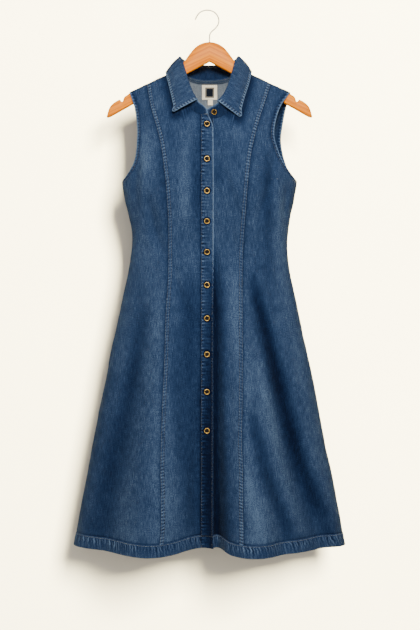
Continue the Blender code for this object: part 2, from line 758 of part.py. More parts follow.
HOOK_WIRE = 1.45           # radius
HOOK_POINTS = (            # X and Z along the wire, from its tip
    (-31.0, -18.5), (-27.6, -11.2), (-21.6, -4.0), (-13.0, 0.4), (-2.6, 1.45),
    (8.0, -1.4), (16.2, -8.6), (20.3, -18.8), (19.0, -29.6), (12.6, -38.6),
    (4.4, -46.0), (0.6, -52.4), (0.0, -60.0), (0.0, -68.1),
)
HOOK_STEPS = 2


def rim(low, top, half):
    """One upright section of the wooden body, with round top and bottom edges."""
    radius = min(HANGER_HALF, (top - low) / 2)
    angles = np.linspace(0, math.pi, RIM_POINTS)
    upper = [(half * math.cos(a), top - radius + radius * math.sin(a)) for a in angles]
    lower = [(half * math.cos(a), low + radius + radius * math.sin(a)) for a in angles + math.pi]
    return upper + lower


def make_hanger(wood, steel):
    right = HANGER.knots
    places = np.concatenate([-right[:0:-1], right])
    mesh_data = bmesh.new()
    rings = []
    for x in places:
        row = np.argmin(np.abs(right - abs(x)))
        _, top, low = HANGER.rows[row]
        taper = min(1.0, (right[-1] - abs(x)) / END_TAPER)
        half = END_HALF + (HANGER_HALF - END_HALF) * math.sqrt(1 - (1 - taper) ** 2)
        ring = [mesh_data.verts.new((x * MM, y * MM, z * MM)) for y, z in rim(low, top, half)]
        rings.append(ring)
    for ring, following in zip(rings, rings[1:]):
        for place in range(len(ring)):
            after = (place + 1) % len(ring)
            corners = (ring[place], ring[after], following[after], following[place])
            mesh_data.faces.new(corners)
    mesh_data.faces.new(rings[0])
    mesh_data.faces.new(rings[-1])
    bmesh.ops.recalc_face_normals(mesh_data, faces=mesh_data.faces[:])
    mesh = bpy.data.meshes.new("hanger_wood")
    mesh_data.to_mesh(mesh)
    mesh_data.free()
    add_object("hanger_wood", mesh, wood)

    chosen = Table(("step", "x", "z"), [(i, x, z) for i, (x, z) in enumerate(HOOK_POINTS)])
    steps = np.linspace(0, len(HOOK_POINTS) - 1, (len(HOOK_POINTS) - 1) * HOOK_STEPS + 1)
    curve = bpy.data.curves.new("hanger_hook", "CURVE")
    curve.dimensions = "3D"
    curve.bevel_depth = HOOK_WIRE * MM
    curve.bevel_resolution = 2
    curve.use_fill_caps = True
    line = curve.splines.new("POLY")
    line.points.add(len(steps) - 1)
    for point, x, z in zip(line.points, chosen.at("x", steps), chosen.at("z", steps)):
        point.co = (x * MM, 0, z * MM, 1)
    hook = bpy.data.objects.new("hanger_hook", curve)
    curve.materials.append(steel)
    COLLECTION.objects.link(hook)


# ------------------------------------------------------------------ the whole dress
def make_panels(denim):
    """Table columns go by the photo's left and right, node names by the wearer's."""
    half_gap = SEAM_GAP / 2
    for side, column, word in ((-1, "left", "right"), (1, "right", "left")):
        for face in ("front", "back"):
            outer_edge = side_edge(f"{face}_{column}", side)
            seam = seam_edge(PRINCESS, f"{face}_{column}", side, side * half_gap)
            panel(f"{face}_side_{word}", face, (outer_edge, seam), SIDE_SHARES, denim)
    seams = {
        (face, side): seam_edge(PRINCESS, f"{face}_{column}", side, -side * half_gap)
        for face in ("front", "back") for side, column in ((-1, "left"), (1, "right"))
    }
    panel("front_centre_right", "front", (seams["front", -1], straight_edge(BAND_SEAM_X)),
          CENTRE_RIGHT_SHARES, denim)
    panel("front_centre_left", "front", (straight_edge(UNDER_SEAM_X), seams["front", 1]),
          CENTRE_LEFT_SHARES, denim, under=True)
    panel("back_centre", "back", (seams["back", -1], seams["back", 1]), BACK_SHARES, denim)


remove_all()
COLLECTION = bpy.data.collections.new("button_down_midi_dress")
bpy.context.scene.collection.children.link(COLLECTION)
DENIM = make_material("denim", (0.042, 0.085, 0.16), 0.82)
TAPE_COTTON = make_material("tape_cotton", (0.10, 0.14, 0.20), 0.85)
LABEL_COTTON = make_material("label_cotton", (0.80, 0.74, 0.62), 0.8)
BRASS = make_material("brass", (0.62, 0.42, 0.17), 0.35, 1.0)
WOOD = make_material("wood", (0.78, 0.38, 0.11), 0.45)
STEEL = make_material("steel", (0.22, 0.21, 0.20), 0.35, 1.0)
make_panels(DENIM)
make_bands(DENIM)
make_collar(DENIM)
make_neck_trim(TAPE_COTTON, LABEL_COTTON)
make_buttons(BRASS)
make_hanger(WOOD, STEEL)
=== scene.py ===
"""Looks of a sleeveless button-front denim midi dress that hangs on a wooden hanger.

The dress's front faces -Y, the wearer's right is -X, and the hook's inside top is the origin.
Tables and sizes are in millimetres, and MM turns them into metres.
"""
import json
import math

import bmesh
import bpy
import numpy as np
from mathutils import Matrix, Vector
from mathutils.kdtree import KDTree

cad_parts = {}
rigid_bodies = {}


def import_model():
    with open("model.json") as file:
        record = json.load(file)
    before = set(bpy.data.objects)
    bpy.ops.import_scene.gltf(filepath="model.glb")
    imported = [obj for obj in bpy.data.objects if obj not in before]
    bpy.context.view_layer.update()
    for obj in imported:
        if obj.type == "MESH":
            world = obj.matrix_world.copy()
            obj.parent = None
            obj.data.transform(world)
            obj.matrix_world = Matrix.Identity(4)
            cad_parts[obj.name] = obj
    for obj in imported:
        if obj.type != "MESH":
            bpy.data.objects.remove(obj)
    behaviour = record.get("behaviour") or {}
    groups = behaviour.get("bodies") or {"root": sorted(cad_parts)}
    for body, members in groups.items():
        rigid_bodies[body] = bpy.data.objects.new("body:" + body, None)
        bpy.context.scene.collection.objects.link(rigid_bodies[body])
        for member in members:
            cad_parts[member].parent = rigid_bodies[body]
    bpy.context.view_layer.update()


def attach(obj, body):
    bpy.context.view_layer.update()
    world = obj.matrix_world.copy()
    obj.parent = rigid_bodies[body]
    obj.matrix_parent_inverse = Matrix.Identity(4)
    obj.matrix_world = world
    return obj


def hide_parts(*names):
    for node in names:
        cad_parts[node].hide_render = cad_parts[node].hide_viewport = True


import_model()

MM = 0.001
TWO_PI = 2 * math.pi

# ---- sizes of the cloth
WALL = 1.2                 # one layer of denim
HEM_TURN = 27.0            # height of the turned-up hem
BAND_WALL = 2.4            # the button bands are folded double
UNDER_WALL = 1.8
COLLAR_WALL = 2.0          # stand and fall, two layers each
SEAM_GAP = 0.3             # between neighbouring panels
UNDERARM_Z = -376.0
HANGER_HALF = 6.0          # half the hanger's thickness
SHOULDER_HALF = 7.9        # cloth's distance from Y = 0 beside the hanger's top edge
SHOULDER_ROUND = 8.0       # height over which the cloth rounds the hanger's top edge
SHOULDER_GAP_HALF = 0.2    # half the gap between front and back at the shoulder seam
FRONT_REACH = 190.0        # height over which the front swells out below the shoulder
BACK_REACH = 115.0
SECTION_POWER = 2.4        # 2 is an ellipse, more is a flatter front
FOLD_FADE = 8.0            # folds fade out beside the side seams
FOLD_START = 40.0          # and this far below the shoulder line
NECK_X = 68.0              # where the shoulder seam meets the neck
NECK_Z = -127.6
NECK_RISE = 17.6           # rise of the shoulder surface's crown above the neck point
SHOULDER_SLOPE = 0.476
BAND_SEAM_X = -18.7        # seam of the upper button band
BAND_LIFT = 0.8            # the upper band stands this far proud of the front
UNDER_SEAM_X = 7.7         # seam of the lower band
UNDER_EDGE_X = -19.4       # its free edge
UNDER_DEPTH = 2.3          # the lower band lies this far in
UNDER_RAMP = (9.0, 21.0)   # between these X the left front dips under the upper band


class Table:
    """Rows with named columns, read as smooth curves of the first column."""

    def __init__(self, columns, rows):
        self.index = {name: place for place, name in enumerate(columns)}
        self.rows = np.array(sorted(rows), dtype=float)
        self.knots = self.rows[:, 0]
        self.slopes = {
            name: np.gradient(self.rows[:, place], self.knots)
            for name, place in self.index.items()
        }

    def at(self, column, where):
        values = self.rows[:, self.index[column]]
        slopes = self.slopes[column]
        where = np.clip(where, self.knots[0], self.knots[-1])
        last = len(self.knots) - 2
        low = np.clip(np.searchsorted(self.knots, where, side="right") - 1, 0, last)
        span = self.knots[low + 1] - self.knots[low]
        t = (where - self.knots[low]) / span
        bend = t * t * (3 - 2 * t)
        start = t * (1 - t) ** 2 * span * slopes[low]
        end = t * t * (1 - t) * span * slopes[low + 1]
        return values[low] * (1 - bend) + values[low + 1] * bend + start - end


# Half widths and depths of the body at each height. Above the underarm they go on as the
# surface that the armholes are cut from. Left and right are the photograph's in these tables.
BODY = Table(("z", "left", "right", "front", "back"), (
    (-100, 188, 188, 50, 50), (-180, 190, 190, 58, 52),
    (-225, 193, 193, 61, 50), (-284, 194, 194, 66, 45),
    (-340, 194, 194, 69, 42), (-376, 192.5, 192.5, 70, 41),
    (-416, 186, 186, 67, 38), (-451, 177, 179, 62, 34),
    (-486, 170.5, 173, 57, 31.5), (-513, 170, 171, 55, 31),
    (-539, 173, 173, 56, 33), (-574, 179, 177, 58.5, 37),
    (-609, 186, 184, 62, 41), (-645, 194, 192, 65, 45),
    (-680, 201, 199, 67.5, 48), (-750, 217, 214.5, 72, 53),
    (-821, 230, 230, 76, 57), (-891, 245, 243, 79, 61),
    (-961, 258.5, 256, 81.5, 64), (-1032, 272, 272, 83.5, 67),
    (-1102, 285, 285, 85, 70), (-1173, 298, 298, 86, 72),
    (-1200, 303, 303, 86, 73),
))

# Distance of the armhole's edge from the centre.
ARMHOLE = Table(("z", "front_left", "front_right", "back_left", "back_right"), (
    (-180, 176, 178, 176, 178), (-205, 167, 160, 166, 171),
    (-240, 160, 146, 157, 164), (-284, 157.5, 141.5, 155, 159),
    (-310, 159.5, 149, 159, 162.5), (-328, 162, 156, 163, 167),
    (-345, 168.5, 166, 170, 173), (-363, 180, 179.5, 181, 182),
    (-372, 188, 188, 188.5, 188.5), (-376, 192.5, 192.5, 192.5, 192.5),
))

# Distance of the princess seams from the centre.
PRINCESS = Table(("z", "front_left", "front_right", "back_left", "back_right"), (
    (-160, 137.5, 135.3, 125, 125), (-211, 128.7, 118.9, 117, 117),
    (-264, 113.8, 102.5, 107, 107), (-302, 104.8, 93.5, 100, 100),
    (-341, 99.2, 87, 94, 94), (-388, 93.9, 82.5, 87, 88),
    (-453, 89.7, 77.6, 78, 79), (-507, 88.8, 73.6, 72, 73),
    (-593, 89.7, 71.3, 74, 75), (-658, 93.8, 71.2, 77, 78),
    (-787, 97.4, 71.1, 84, 84), (-872, 101.3, 70.4, 88, 87),
    (-935, 103, 69, 91, 90), (-998, 104, 71, 94, 93),
    (-1061, 102.8, 71, 96, 96), (-1135, 103.7, 71.6, 99, 98),
    (-1190, 110, 72, 102, 100),
))

NECKLINE = Table(("x", "front", "back"), (
    (-68, -127.6, -127.6), (-64.5, -150, -130), (-57, -182, -134.5),
    (-45, -212, -139.5), (-29, -232, -144), (-18.7, -235, -145.4),
    (0, -235.5, -146), (8, -244, -145.8), (14, -244, -145.6),
    (30, -238, -144), (45, -220, -139.5), (57, -188, -134.5),
    (64.5, -154, -130), (68, -127.6, -127.6),
))

HEM = Table(("x", "front", "back"), (
    (-300, -1173, -1173), (-258, -1176, -1172), (-217, -1178, -1175),
    (-168, -1182, -1178), (-126, -1184, -1178), (-98, -1182.5, -1175),
    (-73, -1178.5, -1172), (-42, -1171.5, -1171), (-5, -1170.5, -1174),
    (8, -1172, -1175), (25, -1173, -1176), (44, -1180, -1177),
    (65, -1183.5, -1176), (96, -1185, -1173), (128, -1184, -1171),
    (171, -1180.5, -1175), (238, -1176, -1177), (300, -1173, -1173),
))

# The upper band's free edge: it turns aside at the top, where the collar is open.
BAND_EDGE = Table(("z", "x"), (
    (-222, -2.5), (-231, -1.8), (-238.5, -1), (-247, 2.4),
    (-256, 6.3), (-264, 8.1), (-275, 8.3), (-700, 8.4),
    (-1190, 8.2),
))

# Each fold runs down the cloth: its height, place, half width, and reach out of the surface.
FOLD_COLUMNS = ("z", "x", "width", "out")
FRONT_FOLDS = {
    "left_flute": (
        (-560, -84, 34, 0), (-700, -96, 46, 8), (-850, -110, 58, 18),
        (-1000, -126, 70, 28), (-1190, -142, 78, 37)),
    "right_flute": (
        (-560, 62, 28, 0), (-700, 72, 40, 8), (-850, 84, 52, 18),
        (-1000, 94, 62, 28), (-1190, 102, 70, 36)),
    "centre_valley": (
        (-560, -4, 24, 0), (-800, -4, 30, -9), (-1000, -5, 36, -18), (-1190, -6, 40, -27)),
    "left_valley": (
        (-610, -146, 22, 0), (-672, -150, 26, -5), (-797, -166, 30, -10),
        (-970, -198, 34, -14), (-1060, -213, 36, -14), (-1190, -232, 38, -12)),
    "right_valley": (
        (-540, 80, 10, 0), (-609, 94, 13, -6), (-672, 113, 16, -9), (-800, 146, 20, -15),
        (-932, 172, 24, -19), (-1055, 208, 27, -24), (-1190, 258, 30, -24)),
    "right_second_valley": (
        (-850, 84, 12, 0), (-897, 91, 13, -4), (-1055, 143, 17, -10), (-1190, 158, 20, -11)),
    "left_waist_crease": (
        (-545, -82, 9, 0), (-575, -77, 10, -4), (-622, -66, 11, -5), (-680, -38, 12, -4),
        (-715, -30, 13, 0)),
    "left_bust_crease": (
        (-395, -134, 10, 0), (-425, -130, 11, -5), (-480, -120, 12, -6), (-525, -106, 12, -4),
        (-560, -98, 12, 0)),
    "left_underarm_crease": (
        (-318, -150, 9, 0), (-345, -156, 10, -5), (-400, -160, 10, -6), (-468, -166, 9, -4),
        (-500, -160, 9, 0)),
    "left_bust_ridge": (
        (-290, -138, 12, 0), (-340, -140, 14, 4), (-400, -146, 13, 4), (-440, -148, 12, 0)),
    "right_bust_crease": (
        (-300, 14, 10, 0), (-340, 24, 11, -4), (-457, 59, 13, -6), (-550, 68, 12, -4),
        (-590, 70, 12, 0)),
    "right_armhole_crease": (
        (-300, 136, 8, 0), (-330, 139, 9, -4), (-393, 131, 10, -6), (-440, 112, 10, -4),
        (-480, 104, 10, 0)),
    "right_armhole_ridge": (
        (-325, 150, 9, 0), (-360, 147, 9, 4), (-420, 150, 9, 5), (-492, 157, 9, 3),
        (-530, 158, 9, 0)),
    "right_side_crease": (
        (-375, 170, 7, 0), (-400, 168, 7, -5), (-470, 166, 7, -4), (-500, 164, 7, 0)),
}
BACK_FOLDS = {
    "left_flute": (
        (-580, -110, 34, 0), (-800, -124, 50, 9), (-1000, -138, 60, 17), (-1190, -150, 66, 24)),
    "centre_flute": (
        (-600, 18, 30, 0), (-800, 22, 40, 7), (-1000, 26, 48, 14), (-1190, 30, 52, 20)),
    "right_flute": (
        (-590, 130, 30, 0), (-800, 146, 42, 9), (-1000, 168, 52, 16), (-1190, 190, 58, 22)),
    "left_valley": (
        (-600, -48, 22, 0), (-800, -52, 28, -7), (-1000, -56, 34, -12), (-1190, -58, 38, -16)),
    "right_valley": (
        (-600, 84, 20, 0), (-800, 92, 26, -7), (-1000, 100, 32, -12), (-1190, 106, 36, -15)),
    "waist_crease_left": (
        (-440, -96, 10, 0), (-480, -86, 12, -4), (-520, -66, 12, -4), (-550, -50, 12, 0)),
    "waist_crease_right": (
        (-450, 112, 10, 0), (-490, 100, 12, -4), (-530, 84, 12, -3), (-560, 74, 12, 0)),
    "blade_crease_left": (
        (-250, -130, 10, 0), (-300, -128, 12, -4), (-370, -116, 12, -4), (-410, -106, 12, 0)),
    "blade_crease_right": (
        (-240, 126, 10, 0), (-300, 124, 12, -4), (-360, 112, 12, -3), (-400, 104, 12, 0)),
}
# Beside the upper band the left front turns back into a deep narrow fold.
UNDER_FOLDS = {
    "recess": (
        (-480, 15, 8, 0), (-560, 16, 8, -4), (-700, 16, 9, -8), (-850, 17, 10, -15),
        (-1000, 18, 11, -23), (-1190, 19, 12, -31)),
}
# Shallower creases that only show up close or in raking light.
FINE_FRONT_FOLDS = {
    "left_dent": (
        (-915, -106, 6, 0), (-935, -101, 7, -2.4), (-965, -88, 8, -1.6), (-990, -80, 8, 0)),
    "left_neck_crease": (
        (-250, -52, 7, 0), (-280, -47, 8, -1.6), (-340, -38, 9, -1.4), (-400, -34, 9, 0)),
    "left_chest_crease": (
        (-240, -74, 8, 0), (-290, -70, 9, -1.8), (-350, -62, 10, -1.6), (-420, -52, 10, 0)),
    "left_hip_ridge": (
        (-560, -130, 12, 0), (-640, -128, 14, 1.8), (-760, -134, 16, 1.6), (-860, -140, 16, 0)),
    "right_neck_crease": (
        (-262, 44, 7, 0), (-290, 50, 8, -1.5), (-340, 58, 9, -1.4), (-390, 66, 9, 0)),
    "right_waist_crease": (
        (-392, 20, 7, 0), (-406, 23, 8, -2.2), (-470, 46, 8, -3), (-522, 72, 8, -2),
        (-548, 82, 8, 0)),
    "right_hip_crease": (
        (-560, 118, 8, 0), (-600, 126, 9, -2), (-680, 148, 10, -2.2), (-760, 170, 11, 0)),
    "right_skirt_ridge": (
        (-700, 118, 12, 0), (-820, 122, 14, 2.4), (-960, 140, 16, 3), (-1100, 176, 18, 2.4),
        (-1190, 196, 20, 0)),
    "right_lobe_crease": (
        (-720, 44, 8, 0), (-800, 44, 9, -1.8), (-900, 46, 9, -2), (-1010, 48, 10, 0)),
    "left_lobe_crease": (
        (-760, -58, 9, 0), (-840, -56, 10, -1.8), (-960, -58, 10, -2.2), (-1080, -62, 11, 0)),
    "left_band_crease": (
        (-880, -30, 8, 0), (-960, -32, 9, -2.2), (-1080, -34, 10, -2.4), (-1165, -34, 10, 0)),
    "left_side_crease": (
        (-640, -176, 9, 0), (-720, -188, 10, -1.8), (-860, -214, 11, -2), (-980, -232, 11, 0)),
}
FINE_BACK_FOLDS = {
    "neck_crease_left": (
        (-190, -40, 8, 0), (-230, -48, 9, -1.6), (-290, -60, 10, -1.4), (-350, -68, 10, 0)),
    "neck_crease_right": (
        (-185, 36, 8, 0), (-240, 46, 9, -1.8), (-310, 58, 10, -1.4), (-380, 64, 10, 0)),
    "waist_fold_low": (
        (-560, 28, 12, 0), (-600, 20, 12, -2), (-650, 8, 12, -1.8), (-700, -2, 12, 0)),
    "hip_ridge": (
        (-640, -150, 12, 0), (-760, -166, 14, 2), (-900, -186, 16, 2), (-1020, -200, 16, 0)),
}
# Painted shading, in the fold tables' columns with out as its strength: painted shade above 0,
# in the troughs, recesses and the gap beside the placket, and painted highlights below 0, on
# ridges. It stands for the light on the front's folds, with a little of the denim's wash in it.
FRONT_PAINTED_SHADING = {
    "left_trough": (
        (-640, -136, 14, 0), (-690, -147, 16, 0.3), (-766, -158, 18, 0.6),
        (-869, -180, 22, 0.72), (-972, -203, 26, 0.72), (-1075, -226, 30, 0.7),
        (-1127, -236, 30, 0.65), (-1165, -242, 28, 0.4)),
    "left_outer": (
        (-700, -216, 20, 0), (-800, -230, 22, 0.2), (-900, -250, 24, 0.25),
        (-1000, -270, 24, 0.25), (-1120, -290, 24, 0)),
    "left_centre": (
        (-620, -74, 14, 0), (-690, -76, 15, 0.2), (-780, -76, 16, 0.42), (-870, -74, 16, 0.45),
        (-950, -68, 15, 0.2), (-1000, -66, 14, 0)),
    "left_inner_lap": (
        (-860, -134, 18, 0), (-920, -136, 20, 0.25), (-1040, -140, 22, 0.3),
        (-1120, -144, 22, 0.1), (-1160, -144, 22, 0)),
    "left_of_placket": (
        (-560, -42, 14, 0), (-620, -46, 20, 0.45), (-700, -44, 24, 0.6), (-900, -40, 26, 0.55),
        (-1075, -38, 26, 0.45), (-1130, -34, 26, 0.3), (-1190, -28, 24, 0.2)),
    "on_placket": (
        (-540, 1, 9, 0), (-620, 1, 10, 0.45), (-760, 0, 12, 0.7), (-880, -2, 13, 1.05),
        (-1030, -2, 14, 1.15), (-1100, -1, 14, 1), (-1170, 2, 14, 0.6)),
    "beside_placket": (
        (-500, 11, 4, 0), (-580, 11, 5, 0.8), (-700, 11, 6, 1.7), (-900, 11, 6, 2),
        (-1100, 12, 7, 2.2), (-1190, 14, 9, 2.2)),
    "right_of_placket": (
        (-520, 18, 9, 0), (-600, 20, 12, 0.55), (-680, 21, 14, 0.9), (-800, 22, 16, 0.75),
        (-920, 23, 19, 0.55), (-1024, 26, 22, 0.65), (-1101, 28, 25, 0.85), (-1160, 28, 25, 0.8)),
    "right_trough": (
        (-575, 92, 10, 0), (-615, 99, 12, 0.9), (-685, 116, 15, 1.35), (-740, 130, 16, 1.5),
        (-817, 148, 17, 1.5), (-895, 169, 18, 1.4), (-972, 191, 18, 1.2),
        (-1050, 219, 19, 0.95), (-1101, 246, 20, 0.7), (-1150, 262, 20, 0.35)),
    "right_second_trough": (
        (-850, 86, 10, 0), (-915, 98, 13, 0.75), (-990, 116, 14, 0.95), (-1050, 136, 15, 1),
        (-1101, 157, 16, 0.95), (-1150, 174, 16, 0.6)),
    "left_bust_seam": (
        (-280, -112, 8, 0), (-330, -108, 9, 0.25), (-430, -100, 10, 0.25), (-500, -96, 10, 0)),
    "left_of_upper_placket": (
        (-250, -28, 9, 0), (-300, -29, 11, 0.3), (-470, -30, 12, 0.3), (-560, -30, 12, 0)),
    "right_bust_side": (
        (-300, 124, 9, 0), (-350, 124, 12, 0.35), (-520, 127, 12, 0.4), (-600, 130, 12, 0.2),
        (-640, 138, 12, 0)),
    "right_bust_point": (
        (-330, 16, 8, 0), (-362, 18, 9, 0.4), (-400, 22, 9, 0)),
    "left_chest": (
        (-250, -136, 14, 0), (-320, -140, 13, -0.7), (-370, -142, 12, -0.5), (-430, -142, 12, 0)),
    "left_bust": (
        (-260, -48, 12, 0), (-330, -52, 12, -0.55), (-420, -52, 12, -0.5), (-500, -54, 12, 0)),
    "left_lap": (
        (-420, -110, 14, 0), (-560, -108, 16, -0.1), (-800, -106, 20, -0.15),
        (-1080, -100, 22, -0.35), (-1190, -100, 24, -0.3)),
    "right_side": (
        (-380, 158, 12, 0), (-450, 156, 12, -0.5), (-560, 156, 12, -0.4), (-640, 172, 12, -0.4),
        (-760, 190, 14, -0.3), (-900, 216, 16, -0.25), (-1100, 262, 18, 0)),
    "right_hip": (
        (-540, 44, 12, 0), (-620, 56, 16, -0.6), (-720, 62, 16, -0.6), (-800, 74, 18, -0.3),
        (-840, 84, 16, 0)),
    "right_lap": (
        (-740, 100, 12, 0), (-800, 110, 12, -0.6), (-900, 134, 12, -0.6), (-1000, 158, 12, -0.45),
        (-1100, 190, 14, -0.2), (-1140, 200, 14, 0)),
    "right_low_lap": (
        (-880, 66, 12, 0), (-960, 72, 14, -0.5), (-1050, 88, 16, -0.65), (-1120, 106, 18, -0.6),
        (-1180, 116, 20, -0.4)),
}


def fold_tables(*groups):
    return [Table(FOLD_COLUMNS, rows) for folds in groups for rows in folds.values()]


FACES = {
    "front": {
        "sign": -1, "reach": FRONT_REACH, "folds": fold_tables(FRONT_FOLDS, FINE_FRONT_FOLDS)},
    "back": {
        "sign": 1, "reach": BACK_REACH, "folds": fold_tables(BACK_FOLDS, FINE_BACK_FOLDS)},
}
UNDER_TABLES = fold_tables(UNDER_FOLDS)
PAINTED_SHADING_TABLES = {"front": fold_tables(FRONT_PAINTED_SHADING), "back": []}
TURN_STEP = 0.002          # steps for measuring the surface's slopes
Z_STEP = 0.05
SEARCH_TOP = -20.0         # above every top line
BISECTIONS = 40
FLAT = np.array([1.0, 1.0, 0.0])


# ---- the cloth's surface
# A turn is a place round the body at one height, from -1 to 1 between the side seams.
def shoulder_z(x):
    """Height of the shoulder line, carried on over the neck as a low crown."""
    reach = np.abs(x)
    crown = NECK_Z + NECK_RISE * (1 - np.minimum(reach / NECK_X, 1) ** 2)
    return crown - SHOULDER_SLOPE * np.maximum(reach - NECK_X, 0)


def half_width(x, z):
    return np.where(x < 0, BODY.at("left", z), BODY.at("right", z))


def fold_height(tables, x, z):
    total = np.zeros(np.broadcast(x, z).shape)
    for table in tables:
        inside = (z >= table.knots[0] - 1) & (z <= table.knots[-1])
        spread = (x - table.at("x", z)) / table.at("width", z)
        total += np.where(inside, table.at("out", z) * np.exp(-spread ** 2), 0)
    return total


def depth_at(face, x, z, under=False):
    """Distance of the cloth's outer side from Y = 0."""
    spec = FACES[face]
    ratio = np.clip(np.abs(x) / half_width(x, z), 0, 1)
    depth = BODY.at(face, z) * np.sqrt(1 - ratio ** SECTION_POWER)
    drop = np.maximum(shoulder_z(x) - z, 0)
    lean = np.clip(1 - drop / spec["reach"], 0, 1) ** 2
    depth += (SHOULDER_HALF - depth) * lean
    fade = (1 - ratio ** FOLD_FADE) * np.clip(drop / FOLD_START, 0, 1)
    depth += fade * fold_height(spec["folds"], x, z)
    if under:
        start, end = UNDER_RAMP
        depth -= UNDER_DEPTH * np.clip((end - x) / (end - start), 0, 1)
        depth += fold_height(UNDER_TABLES, x, z)
    rounding = np.sqrt(1 - (1 - np.clip(drop / SHOULDER_ROUND, 0, 1)) ** 2)
    return SHOULDER_GAP_HALF + depth * rounding


def turn_of(x, z):
    return np.arcsin(np.clip(x / half_width(x, z), -1, 1)) / (math.pi / 2)


def x_of(turn, z):
    return half_width(turn, z) * np.sin(turn * math.pi / 2)


def surface(face, turn, z, under=False):
    x = x_of(np.clip(turn, -1, 1), z)
    y = FACES[face]["sign"] * depth_at(face, x, z, under)
    return np.stack([x, y, z + 0 * x], axis=-1)


def normals(face, turn, z, under=False):
    ahead = surface(face, turn + TURN_STEP, z, under)
    behind = surface(face, turn - TURN_STEP, z, under)
    below = surface(face, turn, z - Z_STEP, under)
    above = surface(face, turn, z + Z_STEP, under)
    return unit(np.cross(ahead - behind, below - above) * FACES[face]["sign"])


def cloth(face, turn, z, lift, under=False):
    """Points on the cloth's outer side, moved out by lift along its normals."""
    normal = normals(face, turn, z, under)
    return surface(face, turn, z, under) + normal * np.expand_dims(lift + 0 * z, -1)


def arc_share(turn):
    """Distance round a section from its middle, for a half width of one."""
    return np.interp(turn, ARC_TURNS, ARC_LENGTHS)


ARC_FLATNESS = 0.35        # depth of a usual section for a half width of one
ARC_STEP = 0.01
ARC_MIDDLE = 100
ARC_TURNS = np.linspace(-1, 1, 2 * ARC_MIDDLE + 1)
ARC_SPEED = np.sqrt(np.cos(ARC_TURNS * math.pi / 2) ** 2
                    + (ARC_FLATNESS * np.sin(ARC_TURNS * math.pi / 2)) ** 2) * math.pi / 2
ARC_LENGTHS = np.concatenate(
    [[0], np.cumsum((ARC_SPEED[1:] + ARC_SPEED[:-1]) / 2 * ARC_STEP)])
ARC_LENGTHS = ARC_LENGTHS - ARC_LENGTHS[ARC_MIDDLE]


# ---- unevenness
def ripple(across, along, wave, seed, count=7):
    """Smooth uneven waves of about one wavelength, between about -1 and 1."""
    draw = np.random.RandomState(seed)
    total = 0.0
    for _ in range(count):
        angle = draw.uniform(0, TWO_PI)
        length = wave * draw.uniform(0.65, 1.6)
        phase = draw.uniform(0, TWO_PI)
        total += np.sin(TWO_PI * (across * math.cos(angle) + along * math.sin(angle))
                        / length + phase)
    return total / math.sqrt(count * 2)


def ease(value, start, end):
    """0 at start and 1 at end, smoothly."""
    t = np.clip((value - start) / (end - start), 0, 1)
    return t * t * (3 - 2 * t)


def bump_at(value, centre, width):
    """1 at centre, falling off smoothly to either side."""
    return np.exp(-((value - centre) / width) ** 2)


def puckers(along, step, seed):
    """Uneven short waves along a line of stitches, between -1 and 1."""
    slow = ripple(along, 0 * along, step * 6, seed)
    strength = 0.65 + 0.45 * ripple(along, 0 * along, step * 9, seed + 1)
    return np.sin(TWO_PI * along / step + 2.2 * slow) * np.clip(strength, 0.1, 1.1)


def unit(vectors):
    return vectors / np.linalg.norm(vectors, axis=-1, keepdims=True)


# ---- finishes
UV = "cloth"


class Number:
    """A socket's value. Arithmetic on it adds Math nodes to its material."""

    def __init__(self, finish, socket):
        self.finish = finish
        self.socket = socket

    def math(self, operation, *others):
        values = dict(enumerate((self,) + others))
        return self.finish.add("ShaderNodeMath", {"operation": operation}, values)

    def __add__(self, other):
        return self.math("ADD", other)

    def __sub__(self, other):
        return self.math("SUBTRACT", other)

    def __mul__(self, other):
        return self.math("MULTIPLY", other)

    def __rsub__(self, other):
        return self.finish.add("ShaderNodeMath", {"operation": "SUBTRACT"}, {0: other, 1: self})

    __radd__ = __add__
    __rmul__ = __mul__

    def clamp(self):
        return self.math("MAXIMUM", 0.0).math("MINIMUM", 1.0)

    def over(self, start, end):
        """0 where the value is start or less, 1 at end or more, straight between."""
        return ((self - start) * (1.0 / (end - start))).clamp()


